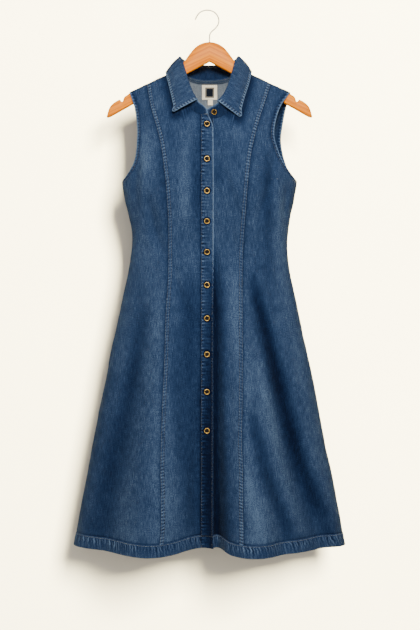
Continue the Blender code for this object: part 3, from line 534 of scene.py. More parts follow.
class Finish:
    """A material, and the nodes that vary it over the surface."""

    def __init__(self, name, **constants):
        self.material = bpy.data.materials.new(name)
        self.material.use_nodes = True
        self.tree = self.material.node_tree
        self.shader = self.tree.nodes["Principled BSDF"]
        for key, value in constants.items():
            self.shader.inputs[key.replace("_", " ")].default_value = value

    def add(self, kind, settings=None, inputs=None, output=0):
        node = self.tree.nodes.new(kind)
        for key, value in (settings or {}).items():
            if key == "stops":
                self.set_stops(node.color_ramp, value)
            else:
                setattr(node, key, value)
        for key, value in (inputs or {}).items():
            self.feed(node.inputs[key], value)
        return Number(self, node.outputs[output])

    def feed(self, socket, value):
        if isinstance(value, Number):
            self.tree.links.new(value.socket, socket)
        else:
            socket.default_value = value

    @staticmethod
    def set_stops(ramp, stops):
        while len(ramp.elements) < len(stops):
            ramp.elements.new(1.0)
        for element, (place, colour) in zip(ramp.elements, stops):
            element.position = place
            element.color = (*colour, 1.0)

    def surface_uv(self):
        return self.add("ShaderNodeUVMap", {"uv_map": UV})

    def object_place(self):
        return self.add("ShaderNodeTexCoord", output="Object")

    def split(self, vector):
        node = self.add("ShaderNodeSeparateXYZ", inputs={0: vector}).socket.node
        return [Number(self, socket) for socket in node.outputs]

    def noise(self, vector, sizes, detail=2.0, roughness=0.5, distortion=0.0):
        """Noise whose grains are about sizes millimetres, along each coordinate."""
        scale = tuple(1.0 / (size * MM) for size in sizes)
        place = self.add("ShaderNodeVectorMath", {"operation": "MULTIPLY"}, {0: vector, 1: scale})
        return self.add("ShaderNodeTexNoise", inputs={
            "Vector": place, "Scale": 1.0, "Detail": detail, "Roughness": roughness,
            "Distortion": distortion})

    def attribute(self, name):
        return self.add("ShaderNodeAttribute", {"attribute_name": name}, output="Fac")

    def ramp(self, value, stops):
        return self.add("ShaderNodeValToRGB", {"stops": stops}, {0: value})

    def mix(self, share, first, second):
        return self.add("ShaderNodeMix", {"data_type": "RGBA"},
                        {0: share, 6: first, 7: second}, output=2)

    def paint(self, socket, value):
        self.feed(self.shader.inputs[socket], value)

    def bump(self, height, distance):
        normal = self.add("ShaderNodeBump", inputs={"Height": height, "Distance": distance * MM})
        self.paint("Normal", normal)


def denim_finish(name, colours, twill_share, turned_colours=None):
    """Yarn-dyed twill: streaky dark warp over a light weft, paled by wear and by painted
    highlights on fold ridges, and darkened by painted shade.

    turned_colours are those of the edges that are turned in, on the wrong side.
    """
    cloth = Finish(name, Roughness=0.9, Sheen_Weight=0.01, Sheen_Roughness=0.5,
                   Specular_IOR_Level=0.06)
    place = cloth.surface_uv()
    across, along, _ = cloth.split(place)
    warp = cloth.noise(place, (1.3, 17.0, 1.0), detail=3.0, roughness=0.6)
    weft = cloth.noise(place, (9.0, 1.3, 1.0), detail=2.0)
    fleck = cloth.noise(place, (1.5, 2.2, 1.0), detail=3.0, roughness=0.7)
    wash = cloth.noise(place, (50.0, 130.0, 1.0), detail=4.0, roughness=0.55)
    mottle = cloth.noise(place, (9.0, 24.0, 1.0), detail=3.0)
    lean = -1.0 if turned_colours else 1.0
    phase = (across * (lean * 0.86) + along * 0.5) * (TWO_PI / (1.15 * MM))
    twill = (phase + warp * 5.0).math("SINE")
    wear = cloth.attribute("wear")
    shade = cloth.attribute("shade")
    level = (0.5 + (warp - 0.5) * 0.75 + (weft - 0.5) * 0.16 + (fleck - 0.5) * 0.85
             + (wash - 0.5) * 0.25 + (mottle - 0.5) * 0.22 + twill * twill_share)
    coils = (cloth.attribute("coil") * TWO_PI + mottle * 2.5 + wash * 6.0).math("SINE")
    roped = cloth.attribute("rope") * coils * (mottle * 1.6 + 0.2)
    # The wear measure pales the cloth for real wear and painted highlights; shade darkens it as
    # painted shade.
    level = level + wear * (0.35 + (fleck - 0.5) * 0.9) - shade * 0.315 + roped * 0.5
    stops = (0.0, 0.25, 0.5, 1.0)
    colour = cloth.ramp(level, tuple(zip(stops, colours)))
    if turned_colours:
        turned = cloth.ramp(level, tuple(zip(stops, turned_colours)))
        colour = cloth.mix(cloth.attribute("turned"), colour, turned)
    cloth.paint("Base Color", colour)
    cloth.paint("Roughness", 0.93 - wear * 0.12 - (warp - 0.5) * 0.1)
    cloth.bump(twill * 0.35 + warp * 0.8 + weft * 0.5 + fleck * 0.7 + roped * 1.6, 0.45)
    return cloth.material


# ---- meshes from point grids
ROPE_PITCH = 6.7           # of the slanted marks where stitches drew the cloth in
OUTWARD_SHARE = (1.0, 3.0, 0.0)     # how X, Y and Z count in telling out from in
MEASURES = ("wear", "shade", "turned", "rope", "coil")


def grid_normals(points):
    return unit(np.cross(np.gradient(points, axis=1), np.gradient(points, axis=0)))


def grid_frame(points):
    """Outward normals of a grid of points."""
    normal = grid_normals(points)
    facing = np.sum(normal * points * OUTWARD_SHARE)
    return normal if facing > 0 else -normal


def from_edges(points):
    """Distance of every point of a grid, straight across, from its first and last column."""
    return (np.linalg.norm(points - points[:, :1], axis=-1),
            np.linalg.norm(points - points[:, -1:], axis=-1))


def wall_about(middle, normal, wall, pinch):
    """Outer and inner side of a wall about its middle, thinner where pinch is small."""
    half = wall / 2
    return middle + normal * (half * pinch)[..., None], middle - normal * (half * pinch)[..., None]


def mesh_of(form, name, *materials):
    """Ends a bmesh as a smooth mesh with these materials."""
    for face in form.faces:
        face.smooth = True
    mesh = bpy.data.meshes.new(name)
    form.to_mesh(mesh)
    form.free()
    for material in materials:
        mesh.materials.append(material)
    return mesh


def slab(name, outer, inner, materials, uv, **measures):
    """A closed wall between two grids of points in millimetres, rows by columns by XYZ.

    Its outer side has the first material and its inner side the second. measures vary its
    finish: wear pales it, for real wear and for painted highlights on ridges, shade darkens it
    as painted shade, turned shows the right side of the cloth on the wrong side, and rope is
    the strength of slanted marks that coil counts.
    """
    rows, columns = outer.shape[:2]
    count = rows * columns
    form = bmesh.new()
    bmesh.ops.create_grid(form, x_segments=columns - 1, y_segments=rows - 1, size=1.0)
    bmesh.ops.extrude_face_region(form, geom=form.faces[:])
    form.verts.index_update()
    for face in form.faces:
        face.material_index = int(min(vert.index for vert in face.verts) >= count)
    drawn = np.array([vert.co[:2] for vert in form.verts])
    column, row = np.rint((drawn + 1) / 2 * (np.array([columns, rows]) - 1)).astype(int).T
    cell = row * columns + column
    side = (np.arange(2 * count) >= count) * count
    places = np.concatenate([outer.reshape(-1, 3), inner.reshape(-1, 3)])[cell + side] * MM
    for vert, place in zip(form.verts, places.tolist()):
        vert.co = place
    bmesh.ops.recalc_face_normals(form, faces=form.faces[:])
    mesh = mesh_of(form, name, *materials)
    corner = np.zeros(len(mesh.loops), dtype=np.int32)
    mesh.loops.foreach_get("vertex_index", corner)
    flat = (uv * MM).reshape(-1, 2)[cell]
    mesh.uv_layers.new(name=UV).data.foreach_set("uv", flat[corner].ravel())
    for key in MEASURES:
        values = measures.get(key, 0.0) + np.zeros((rows, columns))
        layer = mesh.attributes.new(key, "FLOAT", "POINT")
        layer.data.foreach_set("value", values.ravel()[cell])
    return add_piece(name, mesh)


def add_piece(name, mesh):
    piece = bpy.data.objects.new(name, mesh)
    bpy.context.scene.collection.objects.link(piece)
    return piece


def finish_piece(piece, slot_name, *nodes):
    """Rides a piece on the part's one body, in place of the nodes that it stands for."""
    if nodes:
        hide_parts(*nodes)
    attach(piece, "root")
    return piece


def grid_steps(points, axis):
    return np.linalg.norm(np.diff(points, axis=axis), axis=-1)


def grid_distance(points, axis):
    """Distance of every point of a grid from its first row or column, along the cloth."""
    steps = grid_steps(points, axis)
    zero = np.zeros_like(np.take(steps, [0], axis=axis))
    return np.concatenate([zero, np.cumsum(steps, axis=axis)], axis=axis)


def cut_size(points):
    """Flat width, length and area in metres of a sheet with these points."""
    down = points[1:] - points[:-1]
    cells = np.cross((points[:-1, 1:] - points[:-1, :-1]), (down[:, 1:] + down[:, :-1]) / 2)
    area = np.linalg.norm(cells, axis=-1).sum() * MM * MM
    width, length = (float(grid_steps(points, axis).sum(axis=axis).max()) * MM
                     for axis in (1, 0))
    return width, length, min(float(area), width * length)


def declare_sheet(points):
    width, length, area = cut_size(points)


# ---- stitches
STITCH_PITCH = 3.4
STITCH_SIZE = (2.5, 0.62, 0.5)      # length, width and height
STITCH_TILT = 0.06                  # a hand's unevenness, either way
STITCH_SCALES = (0.9, 1.08)
LINE_STEP = 0.5


def along_line(line, step):
    """Places at equal steps along a line, as shares of its points' numbers."""
    length = grid_distance(line, 0)
    count = max(2, int(length[-1] / step))
    return np.interp(np.linspace(0, length[-1], count), length, np.arange(len(line)))


def resample(values, places):
    numbers = np.arange(len(values))
    return np.stack([np.interp(places, numbers, values[:, i]) for i in range(values.shape[1])],
                    axis=-1)


def nearest(points, line):
    """Distance of every point from a line, and how far along it the nearest place lies."""
    dense = resample(line, along_line(line, LINE_STEP))
    tree = KDTree(len(dense))
    for number, place in enumerate(dense.tolist()):
        tree.insert(place, number)
    tree.balance()
    found = np.array([tree.find(place)[1:] for place in points.reshape(-1, 3).tolist()])
    shape = points.shape[:-1]
    return found[:, 1].reshape(shape), found[:, 0].reshape(shape) * LINE_STEP


def thread_form():
    """One stitch: a small fat lozenge of thread, a unit long."""
    form = bmesh.new()
    bmesh.ops.create_uvsphere(form, u_segments=6, v_segments=4, radius=0.5)
    bmesh.ops.rotate(form, verts=form.verts, matrix=Matrix.Rotation(math.pi / 2, 3, "Y"))
    bmesh.ops.scale(form, verts=form.verts, vec=STITCH_SIZE)
    return mesh_of(form, "stitch")


def sew(name, lines, thread, seed=1):
    """Rows of stitches along lines of places and outward normals, in millimetres."""
    draw = np.random.RandomState(seed)
    pattern = thread_form()
    form = bmesh.new()
    for line, normals_along in lines:
        places = along_line(line, STITCH_PITCH)
        points = resample(line, places)
        ups = unit(resample(normals_along, places))
        ahead = unit(np.gradient(points, axis=0))
        for point, up, forward in zip(points, ups, ahead):
            side = unit(np.cross(up, forward))
            up = np.cross(forward, side)
            forward = forward + side * draw.uniform(-STITCH_TILT, STITCH_TILT)
            columns = np.stack([forward, side, up], axis=-1) * draw.uniform(*STITCH_SCALES)
            matrix = Matrix(columns.tolist()).to_4x4() * MM
            matrix.translation = Vector(point.tolist()) * MM
            matrix[3][3] = 1.0
            stitch = pattern.copy()
            stitch.transform(matrix)
            form.from_mesh(stitch)
            bpy.data.meshes.remove(stitch)
    bpy.data.meshes.remove(pattern)
    return finish_piece(add_piece(name, mesh_of(form, name, thread)), "denim")


def on_cloth(face, x, z, lift, under=False):
    """Places on the dress, moved out by lift, and the normals there."""
    turns = turn_of(x, z)
    return cloth(face, turns, z, lift, under), normals(face, turns, z, under)


# ---- seams and edges
def top_line(face):
    """The shoulder line, and the neckline between the two neck points."""
    return lambda x: np.where(np.abs(x) >= NECK_X, shoulder_z(x), NECKLINE.at(face, x))


def seam_edge(column, side, shift):
    """A panel's edge along a princess seam, moved by shift."""
    return lambda z: turn_of(side * PRINCESS.at(column, z) + shift, z)


def side_edge(column, side):
    """The side seam below the underarm and the armhole above it."""
    def edge(z):
        arm = turn_of(side * ARMHOLE.at(column, z), z)
        return np.where(z <= UNDERARM_Z, side * 1.0, arm)
    return edge


def straight_edge(x):
    """An edge that hangs straight down at one X."""
    return lambda z: turn_of(x + 0 * z, z)


def dips_under(face, side):
    """Whether this is the left front, whose surface dips under the upper button band."""
    return face == "front" and side > 0


def top_of(line, place_x, count):
    """Height at which each column, whose X at each height is place_x(z), meets a top line."""
    low = np.full(count, UNDERARM_Z)
    high = np.full(count, SEARCH_TOP)
    for _ in range(BISECTIONS):
        middle = (high + low) / 2
        above = middle > line(place_x(middle))
        high = np.where(above, middle, high)
        low = np.where(above, low, middle)
    return (high + low) / 2


def spots(near, far, steps):
    """Columns across a piece: share of the width and distance in millimetres from it.

    near and far are distances from its two edges, and steps more columns lie between them.
    """
    inner = np.linspace(0, 1, steps + 2)[1:-1]
    between = near[-1] * (1 - inner) - far[-1] * inner
    return np.concatenate([
        np.stack([np.zeros(len(near)), near], axis=-1),
        np.stack([inner, between], axis=-1),
        np.stack([np.ones(len(far)), -np.array(far[::-1])], axis=-1),
    ])


def turns_between(edges, z, places):
    """Turns of the columns at heights z, between two edges given as functions of height."""
    start, end = edges[0](z), edges[1](z)
    width = np.abs(arc_share(end) - arc_share(start)) * half_width(start, z)
    share = places[:, 0] + places[:, 1] / np.maximum(width, 1.0)
    return start + (end - start) * share


def x_between(edges, z, places):
    return x_of(turns_between(edges, z, places), z)


ROW_STEP = 3.1
TOP_SPOTS = np.array([0.0, 0.5, 1.3, 2.6])      # rows of points below the top edge
HEM_SPOTS = np.array([29.0, 27.5, 26.4, 25.2, 22.0, 15.0, 8.0, 3.5, 1.2, 0.4, 0.0])


def panel_rows(tops, hems):
    """Heights of a panel's points, closer together at its top edge and in the hem."""
    upper = int((tops.mean() - UNDERARM_Z) / ROW_STEP)
    lower = int((UNDERARM_Z - hems.mean()) / ROW_STEP)
    start = tops - TOP_SPOTS[-1]
    end = hems + HEM_SPOTS[0]
    rows = [tops - spot for spot in TOP_SPOTS[:-1]]
    rows += [start + (UNDERARM_Z - start) * share for share in np.linspace(0, 1, upper)]
    rows += [UNDERARM_Z + (end - UNDERARM_Z) * share for share in np.linspace(0, 1, lower)[1:]]
    rows += [hems + spot for spot in HEM_SPOTS[1:]]
    return np.array(rows)


# Painted shading of the folds: painted shade in their troughs, painted highlights on their ridges.
TROUGH_DEPTH = 14.0         # of a fold whose trough gets the full painted shade
MOST_PAINTED_SHADE = 1.7
FOLD_PAINTED_SHADING = {"front": 0.2, "back": 0.5}      # the front's painted shading is mostly given by its tables


def painted_fold_shading(face, x, z):
    """Painted shade in fold troughs, painted highlights on fold ridges, and a little wash."""
    fold = fold_height(FACES[face]["folds"], x, z) / TROUGH_DEPTH
    return fold_height(PAINTED_SHADING_TABLES[face], x, z) - FOLD_PAINTED_SHADING[face] * np.clip(fold, -1.2, 1.0)


def far_from(x, z, line):
    """Distance, seen from the front, from a line given by its corners."""
    best = np.inf + 0 * x
    for (x_0, z_0), (x_1, z_1) in zip(line, line[1:]):
        step_x, step_z = x_1 - x_0, z_1 - z_0
        share = ((x - x_0) * step_x + (z - z_0) * step_z) / (step_x ** 2 + step_z ** 2)
        share = np.clip(share, 0, 1)
        best = np.minimum(best, np.hypot(x - x_0 - share * step_x, z - z_0 - share * step_z))
    return best


# Corners of the collar leaves' edges, X and Z.
LEAF_EDGES = (((-4, -224), (-26, -210), (-76, -231), (-84, -190), (-97, -140)),
              ((6, -222), (20, -212), (64, -242), (76, -200), (93, -140)))
# Strength, drop and spread of the painted shadow below the leaves.
LEAF_SHADE = 1.15
LEAF_DROP = 6.0             # of the middle of the shade below the edge
LEAF_SPREAD = 10.0


def under_collar(x, z):
    """Painted shadow just below the collar's leaves."""
    return sum(LEAF_SHADE * bump_at(far_from(x, z + LEAF_DROP, edge), 0.0, LEAF_SPREAD)
               for edge in LEAF_EDGES)


EDGE_ROUND = 0.55           # distance over which an edge is rounded
EDGE_LOSS = 0.62            # share of the wall that is gone at the very edge


def edge_pinch(across, down):
    """How much of the wall's half thickness is left near an edge, for a rounded edge."""
    near = np.minimum(across, down)
    return 1 - EDGE_LOSS * np.exp(-(near / EDGE_ROUND) ** 2)


BROAD_SEEDS = {"front": 11, "back": 31}


def broad_unevenness(face, x, z):
    """Shallow waves that the whole cloth has after washing and hanging."""
    seed = BROAD_SEEDS[face]
    total = 0.55 * ripple(x, z * 0.55, 62.0, seed) + 0.26 * ripple(x, z * 0.7, 27.0, seed + 1)
    return total + 0.13 * ripple(x, z, 13.0, seed + 2)


def panel_uv(turns, z, middle):
    """Flat place of each point, as on the cut cloth, middle millimetres from the panel's own."""
    u = arc_share(turns) * half_width(turns, z) - middle
    return np.stack([u, z + 0 * u], axis=-1)


# Columns of points beside a panel's edges, closer together along a stitched seam.
FINE = (0.0, 0.5, 1.2, 2.2, 3.4, 4.8, 6.4, 8.2, 10.4, 13.0)
PLAIN = (0.0, 0.5, 1.3, 3.0)
PUCKER_STEP = 12.5          # between the puckers beside a princess seam
PUCKER_SEED = 5
PUCKER_SPREAD = 11.0
TOP_FACING = (10.0, 12.0)   # the top edge's turned cloth ends between these distances
ARMHOLE_FACING = (24.0, 28.0)
ARMHOLE_STITCH = 6.5        # the armhole's row of stitches, in from its edge


def pucker_beside(points, line):
    """Lift, painted shade and wear of the cloth beside a stitched seam."""
    distance, along = nearest(points, line)
    wave = puckers(along, PUCKER_STEP, PUCKER_SEED)
    return (0.34 * wave * np.exp(-(distance / PUCKER_SPREAD) ** 2),
            0.75 * bump_at(distance, 0.0, 2.0) + 0.25 * bump_at(distance, 4.0, 5.0),
            0.22 * np.clip(wave, 0, 1) * bump_at(distance, 8.0, 6.0))


def armhole_looks(heights, start):
    """The armhole's turned edge: worn where it rolls, with painted shade beside its row of
    stitches.
    """
    inside = ease(heights, UNDERARM_Z - 6, UNDERARM_Z)
    rolls = 0.8 + 0.35 * puckers(np.cumsum(0 * start + ROW_STEP, axis=0), 7.0, 91)
    return {
        "turned": inside * (1 - ease(start, *ARMHOLE_FACING)),
        "wear": 1.5 * inside * bump_at(start, 0.6, 2.2) * rolls,
        "shade": inside * (0.7 * bump_at(start, 6.4, 1.8) + 0.35 * bump_at(start, 9.5, 2.5)),
        "rope": 0.42 * inside * bump_at(start, 4.0, 3.0)}


def make_panel(node, face, edges, near, far, steps, finishes, under=False, seams=()):
    """One cut panel between two edges. The cloth puckers beside the lines of its seams."""
    places = spots(near, far, steps)
    tops = top_of(top_line(face), lambda z: x_between(edges, z, places), len(places))
    hems = HEM.at(face, x_between(edges, HEM.at(face, 0.0) + 0 * tops, places))
    heights = panel_rows(tops, hems)
    turns = turns_between(edges, heights, places)
    base = surface(face, turns, heights, under)
    normal = grid_frame(base)
    x = base[..., 0]
    above_hem = heights - hems
    start, end = from_edges(base)
    pinch = edge_pinch(np.minimum(start, end), np.minimum(tops - heights, above_hem))

    lift = broad_unevenness(face, x, heights)
    wear, shade, rope = 0.0 * lift, 0.0 * lift, 0.0 * lift
    for line in seams:
        lifted, shaded, worn = pucker_beside(base, line)
        lift += lifted
        shade += shaded
        wear += worn
    # Painted shade in the folds' troughs and recesses; its part below 0 is painted highlight,
    # added to the wear below.
    painted_shading = painted_fold_shading(face, x, heights)
    shade += np.clip(painted_shading, 0, MOST_PAINTED_SHADE)
    if face == "front":
        # Painted shadow just below the collar's leaves.
        shade += under_collar(x, heights)
    turned = 1 - ease(tops - heights, *TOP_FACING)
    if "side" in node:
        armhole = armhole_looks(heights, start)
        turned = np.maximum(turned, armhole["turned"])
        wear += armhole["wear"]
        shade += armhole["shade"]
        rope += armhole["rope"]
    # Painted highlights on the folds' ridges, carried with the wear.
    wear += 0.55 * np.clip(-painted_shading, 0, 1)
    # The panel sinks a little under the turned-up hem, which is a piece of its own outside.
    hem_shadow = bump_at(above_hem, HEM_TURN + 1.6, 2.2)
    lift -= 0.35 * hem_shadow
    lift -= 0.5 * ease(above_hem, HEM_TURN, HEM_TURN - 2.0)
    # Painted shadow on the panel just above the hem's top edge.
    shade += 0.8 * hem_shadow
    wear += 0.15 * np.clip(broad_unevenness(face, x + 40, heights), 0, 1)

    half = WALL / 2
    middle = base + normal * (lift - half)[..., None]
    outer = middle + normal * (half * pinch)[..., None]
    thick = half + 0.6 * ease(above_hem, HEM_TURN + 1, HEM_TURN - 1)
    inner = middle - normal * (thick * pinch)[..., None]
    centre = float(panel_uv(turns, heights, 0.0)[..., 0].mean())
    piece = slab(f"{node}_cloth", outer, inner, finishes, panel_uv(turns, heights, centre),
                 wear=wear, shade=shade, turned=turned, rope=rope, coil=heights / ROPE_PITCH)
    finish_piece(piece, "denim", node)
    return piece, middle


def line_on(face, x_at, z, under=False):
    """Places on the cloth along a line that gives X at each height."""
    return cloth(face, turn_of(x_at(z), z), z, 0.0, under)


SIDES = ((-1, "left", "right"), (1, "right", "left"))   # X sign, table column, wearer's side
SEAM_TOP = -159.0           # about where a princess seam meets the shoulder
SEAM_LOW = -1180.0          # and the hem
SEAM_ROW_STEP = 1.25
# Across the seam's allowance, from under the other panel's edge to its own edge.
SEAM_SPOTS = np.array([-1.0, 0.0, 0.45, 1.0, 1.8, 2.7, 3.6, 4.6, 5.6, 6.5, 7.4, 8.2, 8.7])
SEAM_ROWS = (1.3, 6.9)      # the two rows of stitches, from the seam
SEAM_SEEDS = {"front": 3, "back": 8}
SEAM_PUCKER = 6.2
SEAM_SKEW = 0.9             # how far along its puckers lean for each millimetre across
SEAM_WORN = ((-930.0, -1060.0), (-460.0, -320.0))   # it is worn most below and above these
THREAD_RISE = 0.1           # of a row of stitches out of the cloth


def princess_x(face, column, side):
    """A princess seam, as a function that gives its X at each height."""
    return lambda z: side * PRINCESS.at(f"{face}_{column}", z)


def seam_slant(x_at, z):
    """Cosine of a seam's lean from upright."""
    slope = (x_at(z + 1.0) - x_at(z - 1.0)) / 2.0
    return 1 / np.sqrt(1 + slope ** 2)


def seam_line(face, column, side):
    """Places along a princess seam, beside which the panels pucker."""
    return line_on(face, princess_x(face, column, side), np.linspace(-160, -1186, 600),
                   dips_under(face, side))


def make_seam(face, column, word, side, finishes, thread):
    """The lapped seam allowance beside a princess seam: roped by its two rows of stitches."""
    x_seam = princess_x(face, column, side)
    top = float(shoulder_z(x_seam(SEAM_TOP)))
    low = float(HEM.at(face, x_seam(SEAM_LOW))) + HEM_TURN - 0.6
    z = np.linspace(top - 0.8, low, int((top - low) / SEAM_ROW_STEP))[:, None]
    x = x_seam(z) - side * (SEAM_SPOTS + SEAM_GAP / 2) / seam_slant(x_seam, z)
    turns = turn_of(x, z)
    base = surface(face, turns, z + 0 * x, dips_under(face, side))
    normal = grid_frame(base)
    down = grid_distance(base[:, 0], 0)[:, None]
    along = down + SEAM_SPOTS * SEAM_SKEW
    seed = SEAM_SEEDS[face] + side
    wave = puckers(along, SEAM_PUCKER, seed)
    coarse = puckers(along - SEAM_SPOTS * SEAM_SKEW, PUCKER_STEP, PUCKER_SEED)
    body = np.sin(math.pi * np.clip(SEAM_SPOTS / 8.4, 0, 1)) ** 0.6
    lift = 0.25 + 0.5 * body + 0.34 * wave * body + 0.3 * coarse
    lift += broad_unevenness(face, x, z)
    groove = sum(bump_at(SEAM_SPOTS, row, 0.75) for row in SEAM_ROWS)
    lift -= 0.34 * groove
    lift = lift - 0.5 * bump_at(SEAM_SPOTS, 0.0, 0.4) - 0.75 * ease(SEAM_SPOTS, 7.6, 8.7)
    lift -= 1.1 * ease(SEAM_SPOTS, 0.0, SEAM_SPOTS[0])    # under the other panel's edge
    outer = base + normal * lift[..., None]
    inner = base + normal * (np.minimum(lift, 0.1) - 0.55)[..., None]
    low_down, high_up = (ease(z, *reach) for reach in SEAM_WORN)
    worn = 0.5 + 0.5 * low_down + 0.4 * high_up
    wear = (0.55 * np.clip(wave, 0, 1) * body + 0.3 * bump_at(SEAM_SPOTS, 0.5, 0.8)
            + 0.25 * body) * worn
    # Painted shade in the puckers' hollows, in the stitch grooves and at the allowance's edge.
    shade = 0.6 * np.clip(-wave, 0, 1) * body * worn + 0.5 * groove
    shade += 0.5 * bump_at(SEAM_SPOTS, SEAM_SPOTS[-1], 1.2)
    rope = (0.55 * sum(bump_at(SEAM_SPOTS, row, 1.2) for row in SEAM_ROWS) + 0.25 * body) * worn
    name = f"seam_{face}_{word}"
    piece = slab(name, outer, inner, finishes, panel_uv(turns, z, 0.0), wear=wear, shade=shade,
                 rope=rope, coil=(along - 0.65 * SEAM_SPOTS) / ROPE_PITCH)
    finish_piece(piece, "denim")
    lines = []
    for row in SEAM_ROWS:
        place = int(np.argmin(np.abs(SEAM_SPOTS - row)))
        lines.append((outer[:, place] + normal[:, place] * THREAD_RISE, normal[:, place]))
    return [piece, sew(f"{name}_stitches", lines, thread, seed)]


ALLOWANCE_TURNS = np.array([0.05, 0.034, 0.017, 0.0])     # back from the side seam
ALLOWANCE_ROWS = 200
ALLOWANCE_WALL = 0.9
ALLOWANCE_GAP = 0.4         # inside the panels
ALLOWANCE_DROP = 3.0        # of its top below the underarm
ALLOWANCE_RISE = 2.0        # of its end above the hem


def make_side_allowance(word, side, finishes):
    """The side seam's allowance, pressed open on the inside over the seam."""
    side_x = side * float(BODY.at("right", SEAM_LOW))
    low = float(HEM.at("front", side_x)) + ALLOWANCE_RISE
    z = np.linspace(UNDERARM_Z - ALLOWANCE_DROP, low, ALLOWANCE_ROWS)[:, None]
    turns = side * (1 - ALLOWANCE_TURNS)
    grid = np.concatenate([surface("front", turns, z, side > 0),
                           surface("back", turns[::-1], z)], axis=1)
    normal = grid_frame(grid)
    outer = grid - normal * (WALL + ALLOWANCE_GAP)
    across = grid_distance(grid, 1)
    uv = np.stack([across, z + 0 * across], axis=-1)
    # The whole allowance is darkened a little by painted shade.
    piece = slab(f"side_allowance_{word}", outer, outer - normal * ALLOWANCE_WALL, finishes, uv,
                 shade=0.4)
    return finish_piece(piece, "denim")


HEM_COLUMN_STEP = 1.55
# Heights of the hem's rows of points above its fold, and the rows with a use of their own.
HEM_LEVELS = np.array([28.0, 27.2, 26.6, 26.0, 25.3, 24.2, 22.5, 20, 17.5, 15, 12.5, 10, 7.5, 5.2,
                       3.2, 1.6, 0.6, -0.1])
HEM_STITCH_ROW = 4
HEM_MIDDLE_ROW = 9
HEM_SKEW = 0.22             # how far along its puckers lean for each millimetre up
HEM_REACH = 0.9995          # share of the half width at which the hem ends


def make_hem(name, face, x_range, finishes, thread, under=False):
    """The turned-up hem, roped where its single row of stitches drew the cloth in."""
    count = int(abs(x_range[1] - x_range[0]) / HEM_COLUMN_STEP)
    z_guess = HEM.at(face, 0.0)
    start, end = (turn_of(np.array(x), np.array(z_guess)) for x in x_range)
    turns = np.linspace(start, end, count)
    x = x_of(turns, z_guess)
    height = HEM_LEVELS[:, None]
    z = HEM.at(face, x) + height
    turns = turns + 0 * z
    base = surface(face, turns, z, under)
    normal = grid_frame(base)
    along = grid_distance(base[HEM_MIDDLE_ROW], 0)
    level, up = along + 0 * z, height + 0 * z
    slanted = along + height * HEM_SKEW + 1.6 * ripple(level, up, 34.0, 71)
    slanted = slanted + 2.4 * ripple(level, height * 1.6, 17.0, 75)
    wide = puckers(slanted, 13.0, 72)
    tight = puckers(slanted + 3.0, 6.6, 74)
    strength = np.clip(0.62 + 0.5 * ripple(level, height * 0.5, 46.0, 77), 0.12, 1.1)
    body = strength * ease(height, 27.5, 23.5) * (0.45 + 0.55 * ease(height, 0.0, 12.0))
    lift = 0.75 + body * (0.6 * wide + 0.26 * tight)
    for side, column, _ in SIDES:
        seam_x = float(princess_x(face, column, side)(z_guess))
        lift += 0.8 * bump_at(x - seam_x, -side * 3.0, 7.0) * ease(height, 28, 24)
    groove = bump_at(height, HEM_LEVELS[HEM_STITCH_ROW], 0.9)
    lift -= 0.45 * groove * (1 - 0.5 * tight)
    lift = lift - 0.75 * bump_at(height, 28.4, 1.0) - 0.7 * bump_at(height, -0.4, 0.9)
    lift += broad_unevenness(face, base[..., 0], z)
    outer = base + normal * lift[..., None]
    inner = base + normal * (np.minimum(lift - 1.0, 0.0) - 1.2)[..., None]
    crest = np.clip(0.8 * wide + 0.5 * tight, -1, 1)
    worn = bump_at(height, 20.0, 7.0)
    wear = body * np.clip(crest, 0, 1) * (0.2 + 0.55 * worn) + 0.3 * bump_at(height, 0.4, 1.2)
    wear += 0.08 * bump_at(height, 27.2, 0.7)
    # Painted shade in the hollows between the puckers and in the stitch groove, and a little over
    # the whole hem.
    shade = body * np.clip(-crest, 0, 1) * (0.3 + 0.55 * worn) + 0.5 * groove + 0.08
    rope = (0.15 + 0.38 * worn) * (0.3 + 0.7 * strength) * ease(height, 27.0, 23.0)
    piece = slab(name, outer, inner, finishes, panel_uv(turns, z, 0.0), wear=wear, shade=shade,
                 rope=rope, coil=slanted / ROPE_PITCH)
    finish_piece(piece, "denim")
    ups = normal[HEM_STITCH_ROW]
    row = (outer[HEM_STITCH_ROW] + ups * 0.12, ups)
    return [piece, sew(f"{name}_stitches", [row], thread, 5)]


def armhole_line(face, column, side, inset, lift):
    """Places along the armhole, inset from its edge and lifted from the cloth."""
    z = np.linspace(ARMHOLE.knots[-1] - 34.0, UNDERARM_Z + 0.4, 150)
    x = side * ARMHOLE.at(f"{face}_{column}", z)
    keep = z < shoulder_z(x) - 0.3
    x, z = x[keep], z[keep]
    under = dips_under(face, side)
    turns = turn_of(x, z)
    edge = surface(face, turns, z, under)
    ahead = unit(np.gradient(edge, axis=0))
    inward = unit(np.cross(normals(face, turns, z, under), ahead))
    inward = inward * np.sign(-inward[:, :1] * side + 1e-9)
    inner = edge + inward * inset
    x, z = inner[:, 0], inner[:, 2]
    keep = np.abs(x) < half_width(x, z) - 0.3
    return on_cloth(face, x[keep], z[keep], lift, under)


# ---- bands
BAND_ROW_STEP = 1.7
BAND_SPOTS = (0.0, 0.45, 1.1, 2.0)
BAND_STEPS = 13
BAND_STITCHES = (1.9, 2.6)      # the band's rows of stitches, in from its seam and its free edge
UNDER_SHORTER = 0.6             # the lower band ends this far above the hem


def band_grid(edges, rise):
    """Turns, heights, top and end of a button band's points, rise above the hem."""
    neck = float(NECKLINE.at("front", 0.0))
    places = spots(BAND_SPOTS, BAND_SPOTS, BAND_STEPS)
    hems = HEM.at("front", x_between(edges, -1170.0 + 0 * places[:, 0], places)) + rise
    top_guess = x_between(edges, neck + 0 * places[:, 0], places)
    tops = np.minimum(NECKLINE.at("front", top_guess), neck)
    count = int((tops.mean() - hems.mean()) / BAND_ROW_STEP)
    share = np.linspace(0, 1, count)[:, None]
    z = tops * (1 - share) + hems * share
    return turns_between(edges, z, places), z, tops, hems


